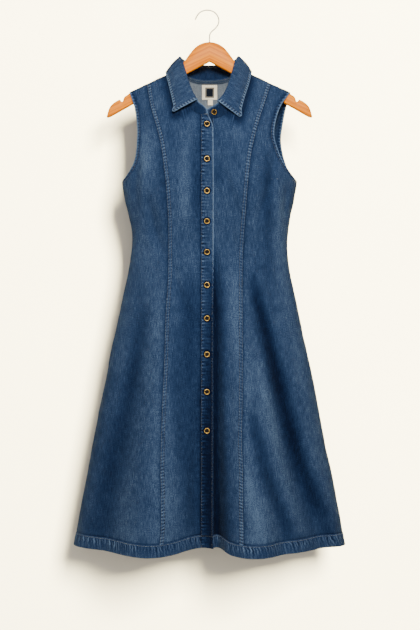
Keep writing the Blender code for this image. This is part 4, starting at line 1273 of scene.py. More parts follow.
def make_upper_band(finishes, thread):
    """The upper button band: puckered along its stitches and pressed in at each button."""
    edges = (straight_edge(BAND_SEAM_X + SEAM_GAP), lambda z: turn_of(BAND_EDGE.at("x", z), z))
    turns, z, tops, hems = band_grid(edges, 0.0)
    base = surface("front", turns, z)
    normal = grid_frame(base)
    x = base[..., 0]
    start, end = from_edges(base)
    above_hem = z - hems
    along = z + 0 * start
    pinch = edge_pinch(np.minimum(start, end), np.minimum(tops - z, above_hem))
    seam_wave = puckers(along, 10.5, 41)
    edge_wave = puckers(along, 12.5, 43)
    cross_wave = puckers(along + 0.35 * start, 16.0, 45)
    low_wave = puckers(start + above_hem * 0.2, 9.0, 47)
    in_hem = ease(above_hem, HEM_TURN - 1, HEM_TURN - 4)
    from_buttons = [np.hypot(x - BUTTON_X, z - height) for height in BUTTON_HEIGHTS]
    painted_shading = painted_fold_shading("front", x, z)

    lift = BAND_LIFT + 0.42 * seam_wave * bump_at(start, 3.0, 5.0)
    lift += 0.32 * edge_wave * bump_at(end, 3.5, 4.5)
    lift += 0.22 * cross_wave * bump_at(start, 12.0, 8.0)
    lift = lift - 0.3 * bump_at(start, 1.7, 0.8) - 0.28 * bump_at(end, 2.6, 0.8)
    lift -= 0.45 * bump_at(above_hem, HEM_TURN - 1.0, 1.2)
    lift += in_hem * (0.35 + 0.35 * low_wave)
    for spot in from_buttons:
        lift = lift - 0.55 * bump_at(spot, 0.0, 5.5) + 0.22 * bump_at(spot, 9.0, 3.0)

    # Painted shade beside the seam and the edge's stitches, in the puckers' hollows, below the
    # collar's leaves and at the hem's top edge.
    shade = 0.55 * bump_at(start, 0.8, 1.6) + 0.3 * bump_at(end, 2.7, 1.0)
    shade += 0.9 * np.clip(-seam_wave, 0, 1) * bump_at(start, 3.5, 6.0)
    shade += 0.5 * np.clip(-cross_wave, 0, 1) * bump_at(start, 13.0, 8.0)
    shade += under_collar(x, z)
    shade += 0.5 * bump_at(above_hem, HEM_TURN - 1.0, 1.4)
    wear = 1.9 * bump_at(end, 0.3, 1.7) * (0.85 + 0.3 * edge_wave)
    wear += 0.5 * np.clip(seam_wave, 0, 1) * bump_at(start, 4.0, 4.0)
    wear += 0.25 * in_hem * np.clip(low_wave, 0, 1)
    # Painted shadow round each button, and wear on the ring of cloth that it pushes up.
    for spot in from_buttons:
        shade += 1.5 * bump_at(spot, 6.8, 2.0)
        wear += 0.25 * bump_at(spot, 10.2, 1.8)
    # Painted shade in the folds' troughs and painted highlights on their ridges.
    shade += np.clip(painted_shading, 0, MOST_PAINTED_SHADE)
    wear = wear * (1 - 0.4 * np.clip(painted_shading, 0, 1)) + 0.4 * np.clip(-painted_shading, 0, 1)
    rope = 0.38 * bump_at(start, 3.2, 3.2) + 0.12 * bump_at(start, 12.0, 7.0)

    middle = base + normal * (lift - BAND_WALL / 2)[..., None]
    outer, inner = wall_about(middle, normal, BAND_WALL, pinch)
    piece = slab("placket_right_cloth", outer, inner, finishes, panel_uv(turns, z, 0.0),
                 wear=wear, shade=shade, rope=rope, coil=z / ROPE_PITCH)
    finish_piece(piece, "denim", "placket_right")

    heights = np.linspace(tops.min() - 2.0, hems.max() + 1.5, 900)
    from_seam, from_edge = BAND_STITCHES
    lines = [on_cloth("front", x, heights, BAND_LIFT - 0.12) for x in (
        BAND_SEAM_X + from_seam + 0 * heights, BAND_EDGE.at("x", heights) - from_edge)]
    x = np.linspace(BAND_SEAM_X + 1.0, float(BAND_EDGE.at("x", -1150.0)) - 1.0, 30)
    lines.append(on_cloth("front", x, HEM.at("front", x) + HEM_TURN - 1.2, BAND_LIFT + 0.2))
    stitches = sew("placket_right_stitches", lines, thread, 12)
    declare_sheet(middle)


def make_under_band(finishes):
    """The lower button band, which shows only as a dark edge beside the upper one: painted shade
    darkens it all over.
    """
    edges = (straight_edge(UNDER_EDGE_X), straight_edge(UNDER_SEAM_X - SEAM_GAP))
    turns, z, tops, hems = band_grid(edges, UNDER_SHORTER)
    turns, z = turns[::2], z[::2]
    base = surface("front", turns, z, True)
    normal = grid_frame(base)
    start, end = from_edges(base)
    pinch = edge_pinch(np.minimum(start, end), np.minimum(tops - z, z - hems))
    middle = base - normal * (UNDER_WALL / 2)
    outer, inner = wall_about(middle, normal, UNDER_WALL, pinch)
    piece = slab("placket_left_cloth", outer, inner, finishes, panel_uv(turns, z, 0.0),
                 shade=0.9 + 0.3 * bump_at(end, 0.0, 3.0))
    finish_piece(piece, "denim", "placket_left")
    declare_sheet(middle)


# ---- collar
# Stations run along the neck from the upper band's side round the back to the other. top is
# the stand's upper edge and edge the fall's. inset draws the stand in from the neckline.
COLLAR = Table(
    ("station", "neck_x", "neck_y_sign", "inset", "top_x", "top_y", "top_z",
     "edge_x", "edge_y", "edge_z"), (
        (0, -3.6, -1, 0, -5.5, -57.5, -224, -5.5, -57.5, -224),
        (1, -10, -1, 0, -14, -59, -216, -14, -59, -216),
        (2, -20, -1, 0, -24.5, -61, -208, -75.7, -56, -230),
        (3, -31, -1, 0, -31, -58, -198.5, -78, -50, -216),
        (4, -43, -1, 0, -37, -54, -188, -81, -44, -203),
        (5, -54, -1, 0, -44.5, -45, -169, -84.5, -38, -188),
        (6, -62, -1, 0, -51, -34, -148, -89, -28, -168),
        (7, -66.5, -1, 0, -57.5, -18, -124, -94, -15, -149),
        (8, -68, 0, 0, -62, -1, -107, -96.5, -1, -136),
        (9, -65, 1, 0, -61, 14, -105.5, -93, 16, -141),
        (10, -52, 1, 0, -49, 31, -109, -72, 34, -152),
        (11, -29, 1, 0, -28, 42, -113, -38, 48, -160),
        (12, 0, 1, 0, 0, 46, -114.5, 0, 53, -163),
        (13, 29, 1, 0, 28, 42, -113, 38, 48, -160),
        (14, 52, 1, 0, 49, 31, -109, 70, 34, -152),
        (15, 65, 1, 0, 60, 14, -105.5, 89, 16, -140),
        (16, 68, 0, 0, 61, -1, -106, 93, -1, -135),
        (17, 66.5, -1, 0, 55, -17, -124, 90, -15, -149),
        (18, 62, -1, 0, 49.7, -31, -143.5, 86, -24, -166),
        (19, 54, -1, 0, 43.6, -42, -163.7, 80.5, -36, -184),
        (20, 44, -1, 0.3, 36.8, -51, -182, 75, -44, -201.6),
        (21, 32, -1, 0.6, 28.5, -57, -198, 69.5, -50, -222),
        (22, 20, -1, 1.2, 17, -60.5, -211.5, 64, -56, -241),
        (23, 8, -1, 2.6, 5, -57.5, -218.5, 5, -57.5, -218.5),
        (24, -6, -1, 3.2, -7, -53.6, -225, -7, -53.6, -225),
    ))
TOP_PLACE = ("top_x", "top_y", "top_z")
EDGE_PLACE = ("edge_x", "edge_y", "edge_z")
FALL_START = 2.0            # stations between which the fall is sewn on
FALL_END = 22.0
FINE_STATIONS = 7           # columns of points for each station
END_STATIONS = np.array([0.012, 0.035])     # and extra ones at the fall's ends
STAND_CLEAR = -0.3          # the stand starts this far above the neckline seam
STAND_SHARES = np.concatenate([[0, 0.012, 0.03], np.linspace(0, 1, 15)[1:-1], [0.97, 0.988, 1]])
STAND_SHADE = 0.75          # painted shade: it lies under the fall
FALL_CLEAR = 0.55
FALL_SHARES = np.concatenate([np.linspace(0, 1, 24)[1:-1], [0.975, 0.99, 1.0]])
# The fall rolls up and out over the stand's upper edge.
FALL_ROLL = Table(("step", "out", "up"), (
    (0, 0.0, 0.0), (1, 0.3, 1.6), (2, 1.8, 3.2), (3, 4.4, 3.8)))
ROLL_STEPS = np.linspace(0, 3, 10)
FALL_BULGE = 2.5
FALL_LIFT = 3.4             # of the fall from the shoulders and fronts
COLLAR_STITCH = 6.0
COLLAR_PUCKER = 5.6


def neck_points(stations):
    """Points on the neckline seam in the middle of the wall, where the stand starts."""
    points = []
    for x, sign in zip(COLLAR.at("neck_x", stations), COLLAR.at("neck_y_sign", stations)):
        face = "front" if sign < 0 else "back"
        x = np.array(x)
        z = top_line(face)(x)
        point = cloth(face, turn_of(x, z), z, -WALL / 2, dips_under(face, x))
        point[1] *= min(1.0, abs(sign))
        points.append(point)
    points = np.array(points)
    return points - unit(points * FLAT) * COLLAR.at("inset", stations)[:, None]


def collar_columns(names, stations):
    return np.stack([COLLAR.at(name, stations) for name in names], axis=-1)


def clear_of_dress(points, lift):
    """Moves points out until they are lift away from the shoulders, front and back."""
    x, y, z = points[..., 0], points[..., 1], points[..., 2]
    low = z - lift
    front = -(depth_at("front", x, low) + lift)
    back = depth_at("back", x, low) + lift
    moved = np.where(y < 0, np.minimum(y, front), np.maximum(y, back))
    return np.stack([x, np.where(low < shoulder_z(x), moved, y), z], axis=-1)


def collar_sheet(name, node, points, finishes, thread, sides, lift, lines_from, dark=0.0):
    """A doubled, top-stitched collar piece about a grid of middle points.

    sides is -1 where the grid faces in, lift is the share of its unevenness, and dark is the
    painted shade of a piece that lies under another.
    """
    normal = grid_normals(points) * sides
    down = grid_distance(points, 0)
    along = grid_distance(points, 1)
    to_end = along[:, -1:] - along
    to_side = np.minimum(along, to_end)
    to_low = down[-1:] - down
    near = np.minimum(to_side, to_low)
    pinch = edge_pinch(near, down)
    row = along[len(points) // 2][None] + 0 * down
    if dark:
        near = np.minimum(to_side, down)
    wave = puckers(row + 0.35 * down, COLLAR_PUCKER, 51)
    relief = 0.3 * wave * bump_at(near, 3.5, 3.0) - 0.3 * bump_at(near, COLLAR_STITCH, 0.8)
    relief += 0.4 * ripple(row, down, 38.0, 53) * lift
    relief += 0.12 * ripple(row, down, 15.0, 54) * lift
    middle = points + normal * relief[..., None]
    outer, inner = wall_about(middle, normal, COLLAR_WALL, pinch)
    wear = 1.7 * bump_at(near, 0.3, 1.9) * (0.8 + 0.25 * wave)
    wear += 0.5 * bump_at(near, 3.8, 2.2)
    # Painted shade in the stitch groove, and the dark piece's painted shade, lighter at its very
    # edge.
    shade = 0.35 * bump_at(near, COLLAR_STITCH, 1.0) + dark * (1 - 0.85 * bump_at(near, 0.0, 2.6))
    piece = slab(name, outer, inner, finishes, np.stack([row, -down], axis=-1), wear=wear,
                 shade=shade, rope=0.0 if dark else 1.05 * bump_at(near, 4.2, 2.2),
                 coil=np.where(to_low < to_side, row, down) / ROPE_PITCH)
    finish_piece(piece, "denim", node)
    lines = [inset_row(outer, normal, kind, down, along, to_low, to_end) for kind in lines_from]
    return piece, middle, sew(f"{name}_stitches", lines, thread, 21)


def inset_row(outer, normal, kind, down, along, to_low, to_end):
    """The line of stitches along one edge of a grid, COLLAR_STITCH in from it."""
    if kind == "low":
        distance, limit = to_low.T, np.minimum(along, to_end).T
        outer, normal = outer.transpose(1, 0, 2), normal.transpose(1, 0, 2)
    else:
        distance = along if kind == "start" else to_end
        limit = np.minimum(to_low, down + 2.0)
    places, ups = [], []
    for row, near, points, facing in zip(distance, limit, outer, normal):
        order = np.argsort(row)
        spot = np.interp(COLLAR_STITCH, row[order], np.arange(len(row))[order])
        if np.interp(spot, np.arange(len(near)), near) >= COLLAR_STITCH - 0.4:
            places.append(resample(points, np.array([spot]))[0])
            ups.append(resample(facing, np.array([spot]))[0])
    places, ups = np.array(places), unit(np.array(ups))
    return places + ups * THREAD_RISE, ups


def make_stand(finishes, thread):
    """The collar stand: a doubled strip from the neckline seam up to the fall."""
    last = COLLAR.knots[-1]
    stations = np.linspace(0, last, int(last * FINE_STATIONS) + 1)
    neck = neck_points(stations)
    top = collar_columns(TOP_PLACE, stations)
    low = neck + unit(top - neck) * STAND_CLEAR
    shares = STAND_SHARES[:, None, None]
    grid = top[None] * (1 - shares) + low[None] * shares
    outward = -1.0 if stand_faces_in(grid) else 1.0
    piece, middle, stitches = collar_sheet(
        "collar_stand_cloth", "collar_stand", grid, finishes, thread, outward, 0.3,
        ("start", "end"), STAND_SHADE)
    declare_sheet(middle)


def make_fall(finishes, thread):
    """The collar's fall: rolled over the stand, then out and down to its points."""
    count = int((FALL_END - FALL_START) * FINE_STATIONS) + 1
    stations = np.concatenate([
        [FALL_START], FALL_START + END_STATIONS,
        np.linspace(FALL_START, FALL_END, count)[1:-1],
        FALL_END - END_STATIONS[::-1], [FALL_END]])
    top = collar_columns(TOP_PLACE, stations)
    edge = collar_columns(EDGE_PLACE, stations)
    up = unit(top - neck_points(stations))
    ahead = np.gradient(top, stations, axis=0)
    out = unit(np.cross(ahead, up))
    out = out * np.sign(np.sum(out * (edge - top), axis=-1, keepdims=True))
    rows = [top + out * FALL_ROLL.at("out", step) + up * (FALL_ROLL.at("up", step) + FALL_CLEAR)
            for step in ROLL_STEPS]
    start = rows[-1]
    across = unit(np.cross(ahead, edge - top))
    across = across * np.sign(np.sum(across * out, axis=-1, keepdims=True))
    for share in FALL_SHARES:
        bulge = across * FALL_BULGE * math.sin(math.pi * share)
        rows.append(clear_of_dress(start * (1 - share) + edge * share + bulge, FALL_LIFT))
    grid = np.array(rows)
    side = np.sign(np.sum(grid_normals(grid) * out[None]))
    piece, middle, stitches = collar_sheet(
        "collar_fall_cloth", "collar_fall", grid, finishes, thread, side, 0.8,
        ("low", "start", "end"))
    declare_sheet(middle)


def stand_faces_in(grid):
    normal = np.cross(np.gradient(grid, axis=1), np.gradient(grid, axis=0))
    return float(np.sum(normal * grid * FLAT)) < 0


# ---- trims at the back of the neck
TAPE_HALF = 46.0
TAPE_TOP_GAP = 1.2          # below the neckline seam
TAPE_HEIGHT = 7.6
TAPE_WALL = 0.7
TRIM_GAP = 0.75             # between the back panel and what is sewn inside it
LABEL_X = (-16.8, 17.2)
LABEL_Z = (-156.2, -188)
TAB_X = (-3.8, 7.4)
TAB_Z = (-188.4, -200)
LABEL_WALL = 0.8


def level_at(z):
    """A straight level edge, as a function of X."""
    return lambda x: z + 0 * x


def make_trim(node, x_range, top_at, low_at, wall, shape, finish, slot_name):
    """A flat piece sewn inside the back, with the side that shows and its normals."""
    rows, columns = shape
    x = np.linspace(x_range[0], x_range[1], columns)
    share = np.concatenate([[0, 0.02], np.linspace(0, 1, rows)[1:-1], [0.98, 1]])[:, None]
    z = top_at(x) * (1 - share) + low_at(x) * share
    seat, normal = on_cloth("back", x + 0 * z, z, -(WALL + TRIM_GAP))
    across = np.minimum(x - x_range[0], x_range[1] - x)[None]
    down = np.minimum(top_at(x) - z, z - low_at(x))
    pinch = edge_pinch(across, down)
    wave = 0.16 * ripple(x + 0 * z, z, 14.0, 61) + 0.12 * puckers(z + 0 * x, 5.0, 62)
    middle = seat + normal * (wave - wall / 2)[..., None]
    outer, inner = wall_about(middle, normal, wall, pinch)
    uv = np.stack([x + 0 * z, z], axis=-1)
    piece = slab(f"{node}_cloth", outer, inner, [finish, finish], uv)
    finish_piece(piece, slot_name, node)
    return piece, middle, inner, -normal


def make_trims(tape_finish, label_finish, tab_finish, thread):
    """The neck tape with its stitches is returned, to be listed with what lies on the back panel.
    """
    def tape_top(x):
        return NECKLINE.at("back", x) - TAPE_TOP_GAP

    tape, _, inside, facing = make_trim(
        "neck_tape", (-TAPE_HALF, TAPE_HALF), tape_top, lambda x: tape_top(x) - TAPE_HEIGHT,
        TAPE_WALL, (6, 60), tape_finish, "tape")
    tape_stitches = sew("neck_tape_stitches", [
        (inside[row] + facing[row] * THREAD_RISE, facing[row])
        for row in (2, len(inside) - 3)], thread, 31)
    label, middle, inside, facing = make_trim(
        "neck_label", LABEL_X, level_at(LABEL_Z[0]), level_at(LABEL_Z[1]), LABEL_WALL,
        (26, 28), label_finish, "label")
    top_row = inside[2] + facing[2] * THREAD_RISE
    stitches = sew("neck_label_stitches", [(top_row, facing[2])], thread, 32)
    declare_sheet(middle)
    tab, middle, _, _ = make_trim(
        "size_tab", TAB_X, level_at(TAB_Z[0]), level_at(TAB_Z[1]), LABEL_WALL, (12, 12),
        tab_finish, "label")
    declare_sheet(middle)
    return [tape, tape_stitches]


# ---- buttons
BUTTON_HEIGHTS = (-257.5, -333, -401.5, -466, -533, -604, -676, -753.5, -834, -917.5)
BUTTON_X = -5.4
BUTTON_GAP = 0.35           # under the button's edge
STAND_BUTTON_STATION = 22.65
# Radius and height from the middle of the cap over the rim and down its side.
CAP_PROFILE = ((0.0, 0.8), (2.2, 0.75), (4.2, 0.7))
RING_PROFILE = ((4.2, 0.7), (4.25, 1.4), (4.45, 2.0), (4.8, 2.4), (5.2, 2.55), (5.6, 2.35),
                (5.95, 1.9), (6.2, 1.3), (6.35, 0.75), (6.15, 0.15), (5.6, -0.1), (0.0, -0.1))
BUTTON_STEPS = 28
BUTTON_SHARP = math.radians(50)
WELD = 0.00002              # points closer than this, in metres, are one
STATION_STEP = 0.2          # for measuring the stand's slope at its button


def spun(form, profile):
    """Turns a half profile about Z."""
    verts = [form.verts.new((radius * MM, 0, height * MM)) for radius, height in profile]
    edges = [form.edges.new(pair) for pair in zip(verts, verts[1:])]
    bmesh.ops.spin(form, geom=verts + edges, cent=(0, 0, 0), axis=(0, 0, 1), dvec=(0, 0, 0),
                   angle=TWO_PI, steps=BUTTON_STEPS, use_merge=True, use_duplicate=False)


def make_button(number, point, normal, brass, dark):
    """A hollow button: a dark sunk middle inside a rounded brass ring."""
    form = bmesh.new()
    spun(form, CAP_PROFILE)
    for face in form.faces:
        face.material_index = 1
    spun(form, RING_PROFILE)
    bmesh.ops.remove_doubles(form, verts=form.verts[:], dist=WELD)
    bmesh.ops.dissolve_degenerate(form, edges=form.edges[:], dist=WELD / 2)
    bmesh.ops.recalc_face_normals(form, faces=form.faces[:])
    rotation = Vector((0, 0, 1)).rotation_difference(Vector(normal.tolist())).to_matrix()
    matrix = Matrix.Translation(Vector(point.tolist()) * MM) @ rotation.to_4x4()
    bmesh.ops.transform(form, matrix=matrix, verts=form.verts[:])
    name = f"button_{number:02d}_ring"
    mesh = mesh_of(form, name, brass, dark)
    mesh.set_sharp_from_angle(angle=BUTTON_SHARP)
    finish_piece(add_piece(name, mesh), "brass", f"button_{number:02d}")


def make_buttons(brass, brass_in_painted_shade, dark):
    """Ten buttons on the upper band, and the open one on the collar stand."""
    heights = np.array(BUTTON_HEIGHTS)
    seats, facing = on_cloth("front", BUTTON_X + 0 * heights, heights, BAND_LIFT + BUTTON_GAP)
    for number, (seat, normal) in enumerate(zip(seats, facing), start=1):
        make_button(number, seat, normal, brass, dark)
    stations = STAND_BUTTON_STATION + np.array([-STATION_STEP, 0, STATION_STEP])
    neck = neck_points(stations)
    top = collar_columns(TOP_PLACE, stations)
    normal = unit(np.cross(unit(top[2] - top[0]), unit(top[1] - neck[1])))
    normal = normal * (1 if normal[1] < 0 else -1)
    seat = (neck[1] + top[1]) / 2 + normal * (COLLAR_WALL / 2 + SEAM_GAP)
    # The stand's button lies in the collar's shadow, so its brass is darkened as painted shade.
    make_button(len(heights) + 1, seat, normal, brass_in_painted_shade, dark)


# ---- hanger
# The wooden body's outline, alike on both sides.
HANGER = Table(("x", "top", "low"), (
    (0, -68.4, -112.2), (8, -69.4, -116.6), (16, -71.6, -120.9),
    (24, -75.4, -125.2), (31, -80.4, -129), (37, -86.4, -132.2),
    (42, -92.8, -134.9), (47, -99.4, -137.6), (52, -106.4, -140.3),
    (57, -113.4, -143.1), (60, -119.2, -144.8), (62, -125.6, -145.9),
    (63.5, -131.2, -146.7), (67, -131.3, -148.7), (71, -131.5, -150.9),
    (76, -133.4, -153.7), (90, -139.9, -161.6), (110, -149.4, -172.9),
    (130, -159, -184.1), (150, -168.5, -195.4), (165, -175.6, -203.8),
    (175, -180.6, -209.5), (182, -185.8, -213.4), (187, -189.6, -216.2),
    (189, -193.4, -217.4), (190.5, -198.4, -218.2), (192.5, -199.9, -219.3),
    (194.6, -198.2, -220.5), (196.6, -195.4, -221.7), (200, -196.2, -223.6),
    (206.5, -199.8, -227.3), (212, -203.6, -230.4), (216, -207.6, -232.6),
    (220, -213.4, -234.2), (223, -221, -234.8), (225, -228.4, -234.6),
    (225.8, -231, -233.6),
))
END_HALF = 2.6              # half the hanger's thickness at its tips
END_TAPER = 12.0
RING_POINTS = 24
CORNER_SHARE = 0.62         # 1 is round from side to side, less is flatter
TINY = 1e-4
HOOK_WIRE = 1.45            # radius
HOOK_POINTS = (             # X and Z along the wire, from its tip
    (-31.0, -18.5), (-27.6, -11.2), (-21.6, -4.0), (-13.0, 0.4), (-2.6, 1.45),
    (8.0, -1.4), (16.2, -8.6), (20.3, -18.8), (19.0, -29.6), (12.6, -38.6),
    (4.4, -46.0), (0.6, -52.4), (0.0, -60.0), (0.0, -68.1),
)


def make_hanger_wood(wood):
    """Rounded rings from tip to tip, whose heights follow the hanger's outline."""
    knots = HANGER.knots
    steps = np.interp(np.linspace(0, len(knots) - 1, (len(knots) - 1) * 3 + 1),
                      np.arange(len(knots)), knots)
    form = bmesh.new()
    bmesh.ops.create_circle(form, segments=RING_POINTS, radius=1.0)
    rings = [form.verts[:]]
    edges = form.edges[:]
    places = np.concatenate([-steps[:0:-1], steps])
    for _ in places[1:]:
        made = bmesh.ops.extrude_edge_only(form, edges=edges)["geom"]
        rings.append([item for item in made if isinstance(item, bmesh.types.BMVert)])
        edges = [item for item in made if isinstance(item, bmesh.types.BMEdge)
                 and all(vert in set(rings[-1]) for vert in item.verts)]
    for verts, x in zip(rings, places):
        reach = abs(x)
        top, low = float(HANGER.at("top", reach)), float(HANGER.at("low", reach))
        taper = min(1.0, (knots[-1] - reach) / END_TAPER)
        half = END_HALF + (HANGER_HALF - END_HALF) * math.sqrt(1 - (1 - taper) ** 2)
        tall = (top - low) / 2
        for vert in verts:
            y, z = vert.co.x, vert.co.y
            bulge_y = math.copysign(abs(y) ** CORNER_SHARE, y)
            corner = min(1.0, half / tall)
            spread = math.copysign(1 - corner + corner * abs(z), z) if abs(z) > TINY else 0.0
            vert.co = Vector((x, bulge_y * half, (top + low) / 2 + spread * tall)) * MM
    for verts in (rings[0], rings[-1]):
        bmesh.ops.contextual_create(form, geom=verts)
    bmesh.ops.recalc_face_normals(form, faces=form.faces[:])
    mesh = mesh_of(form, "hanger_wood_body", wood)
    finish_piece(add_piece("hanger_wood_body", mesh), "wood", "hanger_wood")


def make_hook(steel):
    """A round wire along the hook's curve, with a rounded tip."""
    chosen = Table(("step", "x", "z"), [(i, x, z) for i, (x, z) in enumerate(HOOK_POINTS)])
    steps = np.linspace(0, len(HOOK_POINTS) - 1, (len(HOOK_POINTS) - 1) * 8 + 1)
    curve = bpy.data.curves.new("hook_line", "CURVE")
    curve.dimensions = "3D"
    curve.bevel_depth = HOOK_WIRE * MM
    curve.bevel_resolution = 5
    curve.use_fill_caps = True
    line = curve.splines.new("POLY")
    line.points.add(len(steps) - 1)
    for point, x, z in zip(line.points, chosen.at("x", steps), chosen.at("z", steps)):
        point.co = (x * MM, 0, z * MM, 1)
    drawn = bpy.data.objects.new("hook_line", curve)
    bpy.context.scene.collection.objects.link(drawn)
    form = bmesh.new()
    form.from_mesh(drawn.to_mesh())
    bpy.data.objects.remove(drawn)
    tip = Matrix.Translation(Vector((HOOK_POINTS[0][0], 0, HOOK_POINTS[0][1])) * MM)
    bmesh.ops.create_uvsphere(form, u_segments=16, v_segments=10, radius=HOOK_WIRE * MM,
                              matrix=tip)
    bmesh.ops.recalc_face_normals(form, faces=form.faces[:])
    mesh = mesh_of(form, "hanger_hook_wire", steel)
    finish_piece(add_piece("hanger_hook_wire", mesh), "steel", "hanger_hook")


# ---- other finishes
def thread_finish(name, colour):
    """Dull sewing thread, lighter and darker along its twist."""
    thread = Finish(name, Roughness=0.8, Sheen_Weight=0.2)
    grain = thread.noise(thread.object_place(), (1.2, 1.2, 1.2), detail=1.0)
    dull = tuple(part * 0.4 for part in colour)
    pale = tuple(min(1.0, part * 1.5) for part in colour)
    thread.paint("Base Color", thread.ramp(grain, ((0.3, dull), (0.5, colour), (0.7, pale))))
    return thread.material


FRAME_INSETS = (0.0, 1.5, 2.1)      # of the block's edge and of the two sides of its fine frame
MASK_SOFT = 0.25


def woven_finish(name, colours, square=None):
    """A close plain weave; square is a darker block with a fine frame, as X and Z ranges."""
    cloth = Finish(name, Roughness=0.85, Sheen_Weight=0.02, Specular_IOR_Level=0.15)
    place = cloth.surface_uv()
    across, along, _ = cloth.split(place)
    rib = ((across * (TWO_PI / (0.7 * MM))).math("SINE")
           * (along * (TWO_PI / (0.6 * MM))).math("SINE"))
    grain = cloth.noise(place, (2.4, 2.0, 1.0), detail=3.0, roughness=0.6)
    soil = cloth.noise(place, (16.0, 14.0, 1.0))
    level = 0.5 + (grain - 0.5) * 0.7 + (soil - 0.5) * 0.5 + rib * 0.06
    dull, plain, pale = colours
    ground = cloth.ramp(level, ((0.15, dull), (0.5, plain), (0.85, pale)))
    if square:
        block, inner, deeper = (
            box_mask(across, along, square["x"], square["z"], inset) for inset in FRAME_INSETS)
        frame_line = inner - deeper
        ground = cloth.mix(block, ground, cloth.ramp(level, square["stops"]))
        ground = cloth.mix(frame_line * 0.55, ground, (*plain, 1.0))
    cloth.paint("Base Color", ground)
    cloth.bump(rib + grain * 2.0, 0.12)
    return cloth.material


def box_mask(across, along, x_range, z_range, inset):
    """1 inside a box on the cloth, inset millimetres from its sides, and 0 outside."""
    sides = []
    for value, (start, end) in ((across, x_range), (along, z_range)):
        start, end = (start + inset) * MM, (end - inset) * MM
        sides.append(value.over(start - MASK_SOFT * MM, start + MASK_SOFT * MM))
        sides.append(1.0 - value.over(end - MASK_SOFT * MM, end + MASK_SOFT * MM))
    return sides[0] * sides[1] * sides[2] * sides[3]


def brass_finish(name, painted_shade_depth=0.0):
    """Tarnished brass, a little darker the lower it hangs, and darker by painted shade as its last
    argument grows.
    """
    brass = Finish(name, Metallic=1.0)
    place = brass.object_place()
    tarnish = brass.noise(place, (3.2, 3.2, 3.2), detail=4.0, roughness=0.65)
    brushed = brass.noise(place, (0.5, 2.4, 0.5), detail=2.0)
    _, _, up = brass.split(place)
    # Darker towards the bottom, and less bright by the painted shade of the last argument.
    level = tarnish + (brushed - 0.5) * 0.25 + up * 0.08 + (0.03 - painted_shade_depth)
    brass.paint("Base Color", brass.ramp(level, (
        (0.3, (0.15, 0.085, 0.02)), (0.5, (0.37, 0.24, 0.075)), (0.72, (0.60, 0.42, 0.16)))))
    brass.paint("Roughness", 0.34 + (tarnish - 0.5) * 0.4)
    brass.bump(brushed + tarnish, 0.05)
    return brass.material


def dark_metal_finish(name, dark, pale, metallic, specular, roughness):
    """Dark metal, drawn lengthwise and unevenly tarnished."""
    metal = Finish(name, Metallic=metallic, Specular_IOR_Level=specular)
    place = metal.object_place()
    tarnish = metal.noise(place, (4.0, 4.0, 4.0), detail=4.0, roughness=0.6)
    drawn = metal.noise(place, (0.6, 0.6, 9.0), detail=2.0)
    metal.paint("Base Color", metal.ramp(tarnish + (drawn - 0.5) * 0.4, (
        (0.3, dark), (0.7, pale))))
    metal.paint("Roughness", roughness + (tarnish - 0.5) * 0.3)
    metal.bump(drawn + tarnish * 0.5, 0.04)
    return metal.material


def wood_finish():
    """Varnished wood with long grain along the arms, which fall away from the middle."""
    wood = Finish("varnished_wood", Coat_Weight=0.02, Coat_Roughness=0.2,
                  Specular_IOR_Level=0.03)
    across, depth, height = wood.split(wood.object_place())
    fallen = height + across.math("ABSOLUTE") * SHOULDER_SLOPE
    lengthwise = wood.add("ShaderNodeCombineXYZ", inputs={0: across, 1: depth, 2: fallen})
    broad = wood.noise(lengthwise, (150.0, 14.0, 7.0), detail=3.0, distortion=0.6)
    fine = wood.noise(lengthwise, (55.0, 1.2, 1.1), detail=3.0, roughness=0.65)
    pores = wood.noise(lengthwise, (14.0, 0.5, 0.45), detail=1.0)
    rings = ((fallen * (TWO_PI / (9.0 * MM))) + broad * 9.0).math("SINE")
    level = 0.5 + (broad - 0.5) * 0.5 + (fine - 0.5) * 0.7 + rings * 0.11
    level -= (0.42 - pores).math("MAXIMUM", 0.0) * 1.2
    wood.paint("Base Color", wood.ramp(level, (
        (0.1, (0.44, 0.09, 0.001)), (0.42, (0.78, 0.20, 0.001)),
        (0.62, (0.94, 0.265, 0.001)), (0.9, (1.0, 0.36, 0.004)))))
    wood.paint("Roughness", 0.38 + (fine - 0.5) * 0.3)
    wood.bump(fine + pores * 0.6, 0.08)
    return wood.material


# ---- stage, light and camera
# These are in metres.
WALL_Y = 0.112
WALL_MIDDLE_Z = -0.2
WALL_HALF = (3.6, 2.7)
FLOOR_Z = -1.55
FLOOR_HALF = (3.6, 1.8)
CAMERA_PLACE = (0.0011, -3.0, -0.669)
FRAME_HEIGHT = 1.386        # what the photograph's height shows at the hanger
SENSOR = 36.0               # in millimetres
DAYLIGHT = (1.0, 0.985, 0.96)


def paint_finish(name, size, detail, dark, pale, **constants):
    """Plain paint, faintly mottled in patches of about size millimetres."""
    paint = Finish(name, **constants)
    grain = paint.noise(paint.object_place(), (size,) * 3, detail=detail)
    paint.paint("Base Color", paint.ramp(grain, ((0.3, dark), (0.7, pale))))
    return paint


def wall_finish():
    """A smooth cream wall, seen only from its front."""
    paint = paint_finish("wall_paint", 240.0, 2.0, (0.91, 0.86, 0.73), (0.93, 0.88, 0.75),
                         Roughness=0.9, Specular_IOR_Level=0.0)
    behind = paint.add("ShaderNodeNewGeometry", output="Backfacing")
    clear = paint.add("ShaderNodeBsdfTransparent")
    shaded = Number(paint, paint.shader.outputs[0])
    seen = paint.add("ShaderNodeMixShader", inputs={0: behind, 1: shaded, 2: clear})
    output = paint.tree.nodes["Material Output"]
    paint.tree.links.new(seen.socket, output.inputs["Surface"])
    return paint.material


